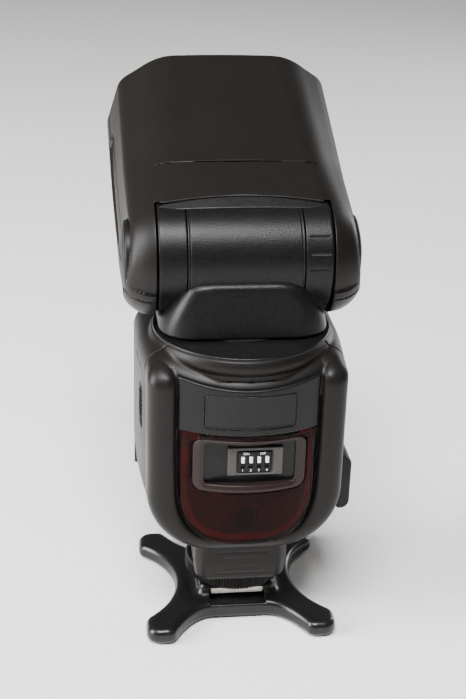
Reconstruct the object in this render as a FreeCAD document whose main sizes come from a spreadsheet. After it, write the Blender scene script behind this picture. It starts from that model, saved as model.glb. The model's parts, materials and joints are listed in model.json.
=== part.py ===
"""A hot-shoe speedlight flash in its four-legged mini stand, as separate solids.

Millimetres, +Z up. The origin is the mouth of the tripod socket under the stand, the front of the
body faces -Y, and the head is stored swivelled half a turn, so it points to +Y, tilted up.
The head's pieces are drawn in the head's own frame: X along the hinge, Y towards the window, Z out
of the top cover, with the origin on the hinge axis. on_head() then sets them on the hinge.
"""
import FreeCAD, Part
import math
import operator
import os

import Sketcher

Vector = FreeCAD.Vector

DIMENSIONS = [
    # stand
    ("stand_height", 6.0),
    ("stand_shift", -0.2),
    ("stand_lift", 0.4),
    ("leg_reach_side", 31.8),
    ("leg_reach_front", 30.6),
    ("hub_half_width", 13.0),
    ("hub_top", 10.2),
    ("pad_radius", 3.5),
    ("pad_height", 1.4),
    ("thread_radius", 3.175),
    ("insert_radius", 5.0),
    ("insert_height", 5.2),
    ("leg_web_half", 8.5),
    ("leg_web_front", 17.6),
    ("leg_tip_round", 4.5),
    ("leg_front_round", 16.0),
    ("leg_side_round", 25.3),
    ("leg_side_start", 20.5),
    ("pad_inset", 5.5),
    # hot shoe
    ("shoe_width", 18.6),
    ("shoe_front", 12.0),
    ("shoe_back", 7.0),
    ("shoe_bottom", 6.75),
    ("shoe_thickness", 2.0),
    ("slot_floor", 5.5),
    ("slot_gap", 0.1),
    ("stem_half_width", 6.2),
    ("spigot_radius", 9.0),
    ("ring_radius", 16.8),
    ("ring_bottom", 10.9),
    ("ring_top", 16.6),
    ("washer_radius", 13.0),
    ("washer_thickness", 0.8),
    ("foot_half_width", 15.5),
    ("foot_front", 20.5),
    ("foot_back", 19.5),
    ("foot_bottom", 17.0),
    ("foot_corner", 5.0),
    ("foot_bolt_x", 9.0),
    ("foot_bolt_y", 15.0),
    ("foot_bolt_low", 23.0),
    ("screw_head_radius", 1.9),
    ("screw_head_height", 1.2),
    ("screw_shank_radius", 1.0),
    ("screw_shank_length", 6.0),
    ("bolt_radius", 1.2),
    ("bolt_head_radius", 2.2),
    ("bolt_head_height", 1.6),
    ("pin_gap", 0.4),
    ("main_pin_radius", 1.4),
    ("small_pin_radius", 0.8),
    # body
    ("body_half_width", 33.2),
    ("body_front_half", 31.4),
    ("body_bottom", 32.0),
    ("body_top", 101.0),
    ("body_rear", 27.0),
    ("body_bottom_corner", 22.0),
    ("body_top_corner", 9.0),
    ("rear_corner", 8.0),
    ("pillar_front", 26.2),
    ("pillar_corner", 6.4),
    ("panel_half_width", 22.3),
    ("panel_edge", 24.8),
    ("panel_crown", 31.0),
    ("panel_radius", 43.3),
    ("split", 14.0),
    ("screw_x", 26.6),
    ("low_screw_z", 60.0),
    ("high_screw_z", 88.0),
    ("screw_tip", 20.0),
    ("front_post_radius", 2.6),
    ("front_post_start", 22.0),
    ("rear_post_radius", 3.2),
    ("cable_radius", 12.0),
    ("knuckle_radius", 1.0),
    ("cavity_top", 95.0),
    ("wall", 2.0),
    ("window_top", 77.3),
    ("window_bottom", 38.3),
    ("window_half_width", 22.0),
    ("tray_half_width", 15.2),
    ("tray_bottom", 59.3),
    ("tray_top", 74.9),
    ("tray_rim", 2.4),
    ("badge_half_width", 14.1),
    ("badge_bottom", 79.8),
    ("badge_top", 91.0),
    ("lever_pitch", 2.54),
    ("dip_centre", 2.0),
    ("dip_half_width", 5.8),
    ("dip_bottom", 63.3),
    ("dip_top", 70.9),
    ("dip_face", 28.3),
    ("dip_back", 26.25),
    ("lever_slot_bottom", 64.7),
    ("lever_slot_top", 69.5),
    ("lever_slot_half", 0.7),
    ("lever_half", 0.6),
    ("lever_face", 29.3),
    ("lever_foot", 27.25),
    ("lever_bottom", 66.9),
    ("lever_top", 69.4),
    ("frame_left", 6.6),
    ("frame_right", 10.8),
    ("frame_bottom", 62.3),
    ("frame_top", 72.0),
    ("frame_face", 27.6),
    ("frame_back", 26.0),
    ("sensor_left", 3.7),
    ("sensor_right", 2.7),
    ("sensor_bottom", 42.0),
    ("sensor_top", 50.2),
    ("sensor_face", 28.4),
    ("sensor_back", 24.5),
    # battery, door and ports
    ("cell_radius", 7.1),
    ("cell_length", 50.5),
    ("cell_pitch", 14.6),
    ("cell_bottom", 41.5),
    ("pack_x", -11.9),
    ("pack_y", -0.6),
    ("door_front", 10.0),
    ("door_back", 19.0),
    ("door_bottom", 42.0),
    ("door_top", 91.0),
    ("gap", 0.2),
    ("port_side", 33.4),
    ("port_front", 8.0),
    ("port_back", 14.0),
    ("port_bottom", 37.0),
    ("port_top", 56.0),
    ("cover_side", 37.9),
    ("bead_radius", 0.8),
    ("bead_length", 17.0),
    ("latch_side", 32.4),
    ("latch_back", 30.7),
    ("latch_front", 8.8),
    ("latch_rear", 4.2),
    ("latch_bottom", 72.6),
    ("latch_top", 84.3),
    ("latch_travel", 2.8),
    ("rib_pitch", 1.6),
    ("rib_width", 0.8),
    ("socket_y", -2.5),
    ("socket_z", 46.0),
    ("socket_start", 26.5),
    ("plug_front", 2.6),
    ("plug_back", 11.9),
    ("plug_bottom", 41.1),
    ("plug_top", 50.9),
    ("contact_radius", 4.0),
    ("nub_radius", 2.7),
    ("nub_height", 1.2),
    ("board_left", 28.0),
    ("board_right", 27.5),
    ("board_front", 18.4),
    ("board_back", 20.0),
    ("board_bottom", 45.0),
    ("board_top", 91.0),
    ("board_notch_radius", 4.0),
    ("capacitor_radius", 9.2),
    ("capacitor_x", 13.6),
    ("capacitor_y", 4.0),
    ("capacitor_bottom", 58.0),
    ("capacitor_length", 34.0),
    # rear panel
    ("rear_panel_half", 26.5),
    ("rear_panel_bottom", 41.0),
    ("rear_panel_top", 93.0),
    ("rear_panel_corner", 6.0),
    ("display_half", 22.0),
    ("display_bottom", 66.0),
    ("display_top", 90.0),
    ("module_half", 20.0),
    ("module_bottom", 67.5),
    ("module_top", 88.5),
    ("module_front", 20.3),
    ("module_back", 26.6),
    ("stem_start", 21.2),
    ("pad_leg_x", 6.8),
    # swivel and tilt
    ("platform_radius", 28.4),
    ("platform_bottom", 97.0),
    ("platform_top", 102.5),
    ("swivel_bore", 16.0),
    ("flange_radius", 20.0),
    ("running_gap", 0.05),
    ("neck_bottom", 102.8),
    ("neck_half_width", 27.2),
    ("neck_front", 15.0),
    ("neck_back", 26.4),
    ("neck_corner", 12.0),
    ("hinge_forward", 7.4),
    ("hinge_height", 123.1),
    ("head_tilt", 22.0),
    ("barrel_radius", 18.0),
    ("barrel_joint", 18.0),
    ("axle_radius", 6.0),
    ("axle_wall", 2.0),
    ("axle_left", 31.5),
    ("axle_right", 33.5),
    ("barrel_wall", 2.5),
    ("neck_lean", 3.4),
    ("neck_shoulder", 4.5),
    ("neck_slope", 10.0),
    ("neck_cable_radius", 8.0),
    ("flange_bore", 11.0),
    # head, in its own frame
    ("ear_inside", 27.7),
    ("ear_radius", 19.7),
    ("cheek_side", 35.8),
    ("cheek_round", 12.8),
    ("cheek_flat", 29.8),
    ("head_length", 76.0),
    ("near_top", 19.3),
    ("near_flat", 28.7),
    ("near_side", 35.2),
    ("near_hip", 37.0),
    ("near_shoulder", 11.5),
    ("near_waist", 9.0),
    ("near_bottom", 19.4),
    ("near_sole", 27.0),
    ("far_top", 23.0),
    ("far_flat", 25.7),
    ("far_side", 35.5),
    ("far_hip", 39.2),
    ("far_shoulder", 12.5),
    ("far_waist", 10.0),
    ("far_bottom", 21.5),
    ("far_sole", 28.0),
    ("seam", 1.5),
    ("chamber_start", 22.0),
    ("bezel_start", 72.0),
    ("lens_half_width", 29.5),
    ("lens_half_height", 13.7),
    ("card_half_width", 25.0),
    ("card_start", 30.0),
    ("card_bottom", 17.55),
    ("card_top", 18.1),
    ("panel_start", 28.0),
    ("wide_panel_bottom", 16.2),
    ("wide_panel_top", 17.2),
    ("card_slot_half", 26.0),
    ("card_slot_bottom", 15.8),
    ("card_slot_top", 18.6),
    ("lens_drop", 0.5),
    ("lens_lip", 1.5),
    ("head_screw_x", 31.8),
    ("near_screw", 27.0),
    ("far_screw", 66.0),
    ("head_post_radius", 2.6),
    ("head_post_bottom", 12.0),
    ("head_post_height", 22.0),
    ("head_screw_bottom", 11.4),
    ("head_screw_head", 1.4),
    ("reflector_start", 38.5),
    ("reflector_depth", 17.5),
    ("trough_radius", 9.5),
    ("screw_drop", 13.2),
    ("zoom_radius", 1.5),
    ("zoom_start", 31.8),
    ("zoom_length", 36.0),
    ("motor_radius", 3.8),
    ("motor_start", 22.6),
    ("motor_length", 9.0),
    ("trough_half", 24.0),
    ("trough_wall", 1.5),
    ("trough_lift", 2.0),
    ("tube_radius", 1.9),
    ("tube_half", 25.0),
    ("electrode_radius", 1.1),
    ("electrode_length", 2.0),
    ("cap_radius", 12.25),
    ("cap_seat", 33.6),
    ("cap_side", 38.7),
    ("button_radius", 11.0),
    ("button_side", 38.8),
]

# Cutting tools run this far past the part.
BEYOND = 50

doc = FreeCAD.newDocument("speedlight")
sheet = doc.addObject("Spreadsheet::Sheet", "sheet")
nodes = []


class Size:
    """A dimension: its number, and the expression in the sheet's aliases that gives it."""

    def __init__(self, number, text):
        self.number = number
        self.text = text

    def __add__(self, other):
        return joined(self, "+", other)

    def __radd__(self, other):
        return joined(other, "+", self)

    def __sub__(self, other):
        return joined(self, "-", other)

    def __rsub__(self, other):
        return joined(other, "-", self)

    def __mul__(self, other):
        return joined(self, "*", other)

    def __rmul__(self, other):
        return joined(other, "*", self)

    def __truediv__(self, other):
        return joined(self, "/", other)

    def __neg__(self):
        return joined(0, "-", self)


OPERATORS = {"+": operator.add, "-": operator.sub, "*": operator.mul, "/": operator.truediv}


def as_size(value):
    if isinstance(value, Size):
        return value
    return Size(float(value), f"({round(float(value), 4)})")


def joined(left, sign, right):
    left = as_size(left)
    right = as_size(right)
    return Size(OPERATORS[sign](left.number, right.number), f"({left.text} {sign} {right.text})")


class Dimensions:
    """The sheet's cells, each read as a Size by its alias."""

    def __init__(self, table):
        for row, (alias, number) in enumerate(table, start=1):
            sheet.set(f"A{row}", alias)
            sheet.set(f"B{row}", str(number))
            sheet.setAlias(f"B{row}", alias)
            setattr(self, alias, Size(number, f"sheet.{alias}"))


d = Dimensions(DIMENSIONS)
doc.recompute()


def bind(item, path, size):
    item.setExpression(path, as_size(size).text)


# ---- sketches ----------------------------------------------------------------------------------


def arc_between(start, end, radius):
    """The shorter arc from start to end; a positive radius turns left, a negative one right."""
    chord = end - start
    lift = math.sqrt(max(radius * radius - chord.Length ** 2 / 4, 0.0))
    left = Vector(-chord.y, chord.x, 0).normalize()
    centre = (start + end) / 2 + left * math.copysign(lift, radius)
    first, last = (start, end) if radius > 0 else (end, start)
    angles = [math.atan2(p.y - centre.y, p.x - centre.x) for p in (first, last)]
    if angles[1] < angles[0]:
        angles[1] += 2 * math.pi
    circle = Part.Circle(centre, Vector(0, 0, 1), abs(radius))
    return Part.ArcOfCircle(circle, angles[0], angles[1])


def pin_point(sketch, curve, end, x, y):
    """Hold one end of a curve at a place that the sheet gives."""
    for kind, value in (("DistanceX", x), ("DistanceY", y)):
        place = as_size(value)
        index = sketch.addConstraint(
            Sketcher.Constraint(kind, -1, 1, curve, end, place.number)
        )
        bind(sketch, f"Constraints[{index}]", place)


def draw_outline(sketch, steps):
    """Draw a closed outline. Each step is (x, y), or (x, y, radius) for an arc that ends there."""
    corners = [Vector(as_size(step[0]).number, as_size(step[1]).number, 0) for step in steps]
    ends = []
    for index, step in enumerate(steps):
        start = corners[index - 1]
        if len(step) == 2:
            curve = sketch.addGeometry(Part.LineSegment(start, corners[index]))
            ends.append((curve, 1, 2))
        else:
            radius = as_size(step[2])
            curve = sketch.addGeometry(arc_between(start, corners[index], radius.number))
            size = radius if radius.number > 0 else -radius
            held = sketch.addConstraint(Sketcher.Constraint("Radius", curve, size.number))
            bind(sketch, f"Constraints[{held}]", size)
            ends.append((curve, 1, 2) if radius.number > 0 else (curve, 2, 1))
    for index, step in enumerate(steps):
        curve, _, last = ends[index]
        follower, first, _ = ends[(index + 1) % len(steps)]
        sketch.addConstraint(Sketcher.Constraint("Coincident", curve, last, follower, first))
        pin_point(sketch, curve, last, step[0], step[1])


def rectangle(left, right, low, high, corner=None):
    """An upright rectangle as an outline, with round corners where a radius is given."""
    if corner is None:
        return [(left, low), (right, low), (right, high), (left, high)]
    left, right, low, high = (as_size(value) for value in (left, right, low, high))
    return [
        (right - corner, low),
        (right, low + corner, corner),
        (right, high - corner),
        (right - corner, high, corner),
        (left + corner, high),
        (left, high - corner, corner),
        (left, low + corner),
        (left + corner, low, corner),
    ]


def plane_of(body, role):
    return next(item for item in body.Origin.OriginFeatures if item.Role == role)


def outline_in(body, role, steps, lift=0):
    """Attach a sketch to one of the body's own planes, lifted along the plane's normal."""
    sketch = body.newObject("Sketcher::SketchObject", f"{body.Name}_outline")
    sketch.AttachmentSupport = [(plane_of(body, role), "")]
    sketch.MapMode = "FlatFace"
    bind(sketch, "AttachmentOffset.Base.z", lift)
    draw_outline(sketch, steps)
    return sketch


# ---- solids ------------------------------------------------------------------------------------


def prism(name, role, steps, low, high):
    """A padded outline between two places along X, Y or Z, by the plane it is drawn on."""
    body = doc.addObject("PartDesign::Body", name)
    low, high = as_size(low), as_size(high)
    start = -high if role == "XZ_Plane" else low
    pad = body.newObject("PartDesign::Pad", f"{name}_pad")
    pad.Profile = outline_in(body, role, steps, start)
    bind(pad, "Length", high - low)
    return body


def turned(name, steps, about):
    """An outline in the XZ plane turned about its X or Z axis."""
    body = doc.addObject("PartDesign::Body", name)
    sketch = outline_in(body, "XZ_Plane", steps)
    turn = body.newObject("PartDesign::Revolution", f"{name}_turn")
    turn.Profile = sketch
    turn.ReferenceAxis = (sketch, ["H_Axis" if about == "X" else "V_Axis"])
    turn.Angle = 360
    return body


def block(name, x, y, z):
    """A box from its low and high places along each axis."""
    item = doc.addObject("Part::Box", name)
    for (low, high), side, place in zip((x, y, z), ("Length", "Width", "Height"), "xyz"):
        low, high = as_size(low), as_size(high)
        bind(item, side, high - low)
        bind(item, f"Placement.Base.{place}", low)
    return item


TURN_TO = {
    "X": FreeCAD.Rotation(Vector(0, 1, 0), 90),
    "Y": FreeCAD.Rotation(Vector(1, 0, 0), -90),
    "Z": FreeCAD.Rotation(),
}


def rod(name, radius, axis, start, length):
    """A cylinder that starts at a point and runs along +X, +Y or +Z."""
    item = doc.addObject("Part::Cylinder", name)
    item.Placement = FreeCAD.Placement(Vector(), TURN_TO[axis])
    bind(item, "Radius", radius)
    bind(item, "Height", length)
    for value, place in zip(start, "xyz"):
        bind(item, f"Placement.Base.{place}", value)
    return item


def fuse(name, *shapes):
    item = doc.addObject("Part::MultiFuse", name)
    item.Shapes = list(shapes)
    return item


def common(name, *shapes):
    item = doc.addObject("Part::MultiCommon", name)
    item.Shapes = list(shapes)
    return item


def cut(name, base, *tools):
    item = doc.addObject("Part::Cut", name)
    item.Base = base
    item.Tool = tools[0] if len(tools) == 1 else fuse(f"{name}_tools", *tools)
    return item


def group(name, *shapes):
    """Separate solids that share one node."""
    item = doc.addObject("Part::Compound", name)
    item.Links = list(shapes)
    return item


def tube(name, outer, bore, axis, start, length):
    return cut(
        name,
        rod(f"{name}_outer", outer, axis, start, length),
        rod(f"{name}_bore", bore, axis, start, length),
    )


def keep(item):
    """Hand in this item as a node; its Label names the node."""
    nodes.append(item)
    return item


def on_head(item):
    """Set a piece drawn in the head's frame onto the hinge, at the stored tilt, and keep it."""
    item.Placement = FreeCAD.Placement(Vector(), FreeCAD.Rotation(Vector(1, 0, 0), 1))
    bind(item, "Placement.Base.y", d.hinge_forward)
    bind(item, "Placement.Base.z", d.hinge_height)
    bind(item, "Placement.Rotation.Angle", d.head_tilt)
    return keep(item)


# ---- stand -------------------------------------------------------------------------------------


def leg_outline():
    """An X with round tips and hollow sides, symmetric about X = 0 and Y = stand_shift."""
    side = d.leg_reach_side
    reach = d.leg_reach_front
    web = (d.leg_web_half, d.leg_web_front)
    tip = d.leg_tip_round
    arch = -d.leg_front_round
    waist = -d.leg_side_round
    start = d.leg_side_start
    front_right = [(web[0], -web[1]), (side - 10.8, 2.7 - reach, arch), (side - 5.3, -reach)]
    front_right += [(side, 4 - reach, tip), (side - 0.8, -start)]
    back_right = [(side - 0.8, start, waist), (side, reach - 4), (side - 5.3, reach, tip)]
    back_right += [(side - 10.8, reach - 2.7), (web[0], web[1], arch)]
    right = front_right + back_right
    left = [(-as_size(step[0]), -as_size(step[1]), *step[2:]) for step in right]
    return [(step[0], step[1] + d.stand_shift, *step[2:]) for step in right + left]


def leg_places():
    """The centre of each rubber pad, near the four tips."""
    across = d.leg_reach_side - d.pad_inset
    along = d.leg_reach_front - d.pad_inset
    return [(across * sx, along * sy + d.stand_shift) for sx in (-1, 1) for sy in (-1, 1)]


def make_stand():
    legs = prism("stand_legs", "XY_Plane", leg_outline(), d.stand_lift, d.stand_height)
    hub_back = d.shoe_back + 6
    hub = block(
        "stand_hub",
        (-d.hub_half_width, d.hub_half_width),
        (-d.shoe_front, hub_back),
        (d.slot_floor - 1, d.hub_top),
    )
    slot_half = d.shoe_width / 2 + d.slot_gap
    slot_top = d.shoe_bottom + d.shoe_thickness + d.running_gap
    stop = d.shoe_back + d.slot_gap
    slot = block("stand_slot", (-slot_half, slot_half), (-BEYOND, stop), (d.slot_floor, slot_top))
    stem_half = d.stem_half_width + d.slot_gap
    throat = block("stand_throat", (-stem_half, stem_half), (-BEYOND, stop), (slot_top, d.hub_top + 1))
    seat = rod("insert_seat", d.insert_radius, "Z", (0, 0, 0), d.insert_height)
    recesses = [
        rod(f"pad_recess_{i}", d.pad_radius, "Z", (x, y, 0), d.pad_height)
        for i, (x, y) in enumerate(leg_places(), start=1)
    ]
    keep(cut("stand_base", fuse("stand_blank", legs, hub), slot, throat, seat, *recesses))
    keep(tube("stand_insert", d.insert_radius, d.thread_radius, "Z", (0, 0, 0), d.insert_height))
    pads = [
        rod(f"pad_{i}", d.pad_radius, "Z", (x, y, 0), d.pad_height)
        for i, (x, y) in enumerate(leg_places(), start=1)
    ]
    keep(group("stand_pads", *pads))


# ---- foot --------------------------------------------------------------------------------------


def foot_screw_places():
    return [(sx * 4, y) for sx in (-1, 1) for y in (-6, 4)]


def foot_screw(name, x, y, slack):
    """A countersunk-free pan screw, head down, that holds the shoe plate to the foot."""
    head_top = d.shoe_bottom + d.screw_head_height
    radius = d.screw_head_radius + slack
    head = rod(f"{name}_head", radius, "Z", (x, y, d.shoe_bottom), d.screw_head_height)
    radius = d.screw_shank_radius + slack / 2
    shank = rod(f"{name}_shank", radius, "Z", (x, y, head_top), d.screw_shank_length)
    return fuse(name, head, shank)


def make_foot():
    half = d.shoe_width / 2
    plate_top = d.shoe_bottom + d.shoe_thickness
    stem_top = d.hub_top + d.running_gap
    outline = rectangle(-half, half, -d.shoe_front, d.shoe_back, 0.8)
    plate = prism("shoe_blade", "XY_Plane", outline, d.shoe_bottom, plate_top)
    stem = block(
        "shoe_stem",
        (-d.stem_half_width, d.stem_half_width),
        (-6, 6),
        (plate_top, stem_top),
    )
    holes = [
        foot_screw(f"foot_hole_{i}", x, y, 0.1)
        for i, (x, y) in enumerate(foot_screw_places(), start=1)
    ]
    keep(cut("shoe_plate", fuse("shoe_blank", plate, stem), *holes))
    screws = [
        foot_screw(f"foot_screw_{i}", x, y, 0)
        for i, (x, y) in enumerate(foot_screw_places(), start=1)
    ]
    keep(group("foot_screws", *screws))
    pin_bottom = d.slot_floor + d.pin_gap
    small = d.small_pin_radius
    pin_places = [(0, -1, d.main_pin_radius), (-5, 1, small), (5, 1, small)]
    pin_places += [(-2, -9.5, small), (2, -9.5, small)]
    pins = [
        rod(f"pin_{i}", r, "Z", (x, y, pin_bottom), d.shoe_bottom - pin_bottom)
        for i, (x, y, r) in enumerate(pin_places, start=1)
    ]
    keep(group("contact_pins", *pins))

    spigot = rod("foot_spigot", d.spigot_radius, "Z", (0, 0, stem_top), d.foot_bottom - stem_top)
    outline = rectangle(-d.foot_half_width, d.foot_half_width, -d.foot_front, d.foot_back, d.foot_corner)
    foot = prism("foot_body", "XY_Plane", outline, d.foot_bottom, d.body_bottom)
    thread_holes = [
        rod(f"foot_thread_{i}", 1.05, "Z", (x, y, stem_top), 4)
        for i, (x, y) in enumerate(foot_screw_places(), start=1)
    ]
    body_holes = [
        rod(f"foot_body_hole_{i}", d.bolt_radius, "Z", (x, d.foot_bolt_y, d.foot_bolt_low - 1), 12)
        for i, x in enumerate((-d.foot_bolt_x, d.foot_bolt_x), start=1)
    ]
    blank = fuse("foot_blank", spigot, foot)
    keep(cut("foot_block", blank, *thread_holes, *body_holes))


def make_lock():
    """The locking wheel round the foot's spigot, and the washer that it presses on the stand."""
    bore = d.spigot_radius + d.running_gap
    recess = d.washer_radius + 0.3
    recess_top = d.ring_bottom + 1.6
    wheel = turned(
        "lock_ring",
        [
            (recess, d.ring_bottom),
            (d.ring_radius - 1.2, d.ring_bottom),
            (d.ring_radius, d.ring_bottom + 1.2),
            (d.ring_radius, d.ring_top - 0.6),
            (d.ring_radius - 0.6, d.ring_top),
            (bore, d.ring_top),
            (bore, recess_top),
            (recess, recess_top),
        ],
        "Z",
    )
    keep(wheel)
    start = (0, 0, d.hub_top + 0.02)
    keep(tube("lock_washer", d.washer_radius, bore, "Z", start, d.washer_thickness))


# ---- body shells -------------------------------------------------------------------------------


def plan_outline(inset):
    """The body seen from above: pillars at the front corners and a crowned panel between them."""
    side = d.body_half_width - inset
    front_side = d.body_front_half - inset
    rear = d.body_rear - inset
    rear_round = d.rear_corner - inset
    front = inset - d.pillar_front
    front_round = d.pillar_corner - inset
    step = d.panel_half_width + inset
    edge = inset - d.panel_edge
    return [
        (side, rear - rear_round),
        (side - rear_round, rear, rear_round),
        (rear_round - side, rear),
        (-side, rear - rear_round, rear_round),
        (-front_side, front + front_round),
        (front_round - front_side, front, front_round),
        (-step, front),
        (-step, edge),
        (step, edge, d.panel_radius),
        (step, front),
        (front_side - front_round, front),
        (front_side, front + front_round, front_round),
    ]


def face_outline(inset):
    """The body seen from the front: large round corners below, smaller ones at the shoulders."""
    side = d.body_half_width - inset
    low = d.body_bottom + inset
    high = d.body_top - inset
    low_round = d.body_bottom_corner - inset
    high_round = d.body_top_corner - inset
    return [
        (side - low_round, low),
        (side, low + low_round, low_round),
        (side, high - high_round),
        (side - high_round, high, high_round),
        (high_round - side, high),
        (-side, high - high_round, high_round),
        (-side, low + low_round),
        (low_round - side, low, low_round),
    ]


def body_solid(name, inset, top):
    """The space inside the plan and the face outlines, up to a height."""
    plan = prism(f"{name}_plan", "XY_Plane", plan_outline(inset), d.body_bottom, top)
    face = prism(f"{name}_face", "XZ_Plane", face_outline(inset), -BEYOND, BEYOND)
    return common(name, plan, face)


def crown(name, depth, low, high):
    """A round column whose skin lies a depth behind the crowned panel's face."""
    centre = d.panel_radius - d.panel_crown
    return rod(name, d.panel_radius - depth, "Z", (0, centre, low), high - low)


def window_outline(grow):
    """A U shape: straight top, sides that lean in, and a round bottom."""
    half = d.window_half_width + grow
    low = d.window_bottom - grow
    top = d.window_top + grow
    return [
        (half - 9.0, low + 0.5),
        (half - 1.8, low + 9.2, 9.5),
        (half, low + 20),
        (half, top),
        (-half, top),
        (-half, low + 20),
        (1.8 - half, low + 9.2),
        (9.0 - half, low + 0.5, 9.5),
    ]


def tray_space(name, grow, back):
    """The prism of the DIP tray, from its floor out through the front."""
    half = d.tray_half_width + grow
    outline = rectangle(-half, half, d.tray_bottom - grow, d.tray_top + grow, 1.6 + grow)
    return prism(name, "XZ_Plane", outline, -40, back)


def badge_space(name, grow):
    half = d.badge_half_width + grow
    outline = rectangle(-half, half, d.badge_bottom - grow, d.badge_top + grow, 1.2)
    return prism(name, "XZ_Plane", outline, -40, -20)


def door_space(name, grow):
    return block(
        name,
        (-40, -24),
        (-d.door_front - grow, d.door_back + grow),
        (d.door_bottom - grow, d.door_top + grow),
    )


BUTTONS = {
    # label: (x, z, cap radius)
    "mode_button": (-19, 57, 3.6),
    "power_button": (-19, 47, 3.6),
    "pilot_button": (19, 57, 3.6),
}
PAD_PLACE = (0, 53)
PAD_RADIUS = 9.5
OK_RADIUS = 3.8
STEM_RADIUS = 1.5


KNUCKLE_Y = 19.1


def knuckle_x():
    """The door turns about this distance from the middle, inside the wall's thickness."""
    return d.body_half_width - d.knuckle_radius


def knuckle(name, radius, grow):
    """The round rear edge of the battery door, on the hinge's axis."""
    low = d.door_bottom - grow
    return rod(name, radius, "Z", (-knuckle_x(), KNUCKLE_Y, low), d.door_top + grow - low)


def rear_stem_holes(name):
    places = [(x, z) for x, z, _ in BUTTONS.values()]
    pad_x, pad_z = PAD_PLACE
    places += [PAD_PLACE, (pad_x - d.pad_leg_x, pad_z), (pad_x + d.pad_leg_x, pad_z)]
    return [
        rod(f"{name}_{i}", STEM_RADIUS + 0.2, "Y", (x, 20, z), 10)
        for i, (x, z) in enumerate(places, start=1)
    ]


def body_screw(name, z, slack):
    """A long screw from the rear wall into the front shell, on the right of the body."""
    seat = d.body_rear - d.bolt_head_height
    radius = d.bolt_radius + slack
    shank = rod(f"{name}_shank", radius, "Y", (d.screw_x, -d.screw_tip, z), seat + d.screw_tip)
    radius = d.bolt_head_radius + slack
    head = rod(f"{name}_head", radius, "Y", (d.screw_x, seat, z), d.bolt_head_height)
    return fuse(name, shank, head)


def foot_bolt(name, x, slack):
    """A short screw that ties the rear shell down to the foot."""
    floor = d.body_bottom + d.wall
    low = d.foot_bolt_low
    shank = rod(f"{name}_shank", d.bolt_radius + slack, "Z", (x, d.foot_bolt_y, low), floor - low)
    head = rod(f"{name}_head", d.bolt_head_radius + slack, "Z", (x, d.foot_bolt_y, floor), 1.5)
    return fuse(name, shank, head)


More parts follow.
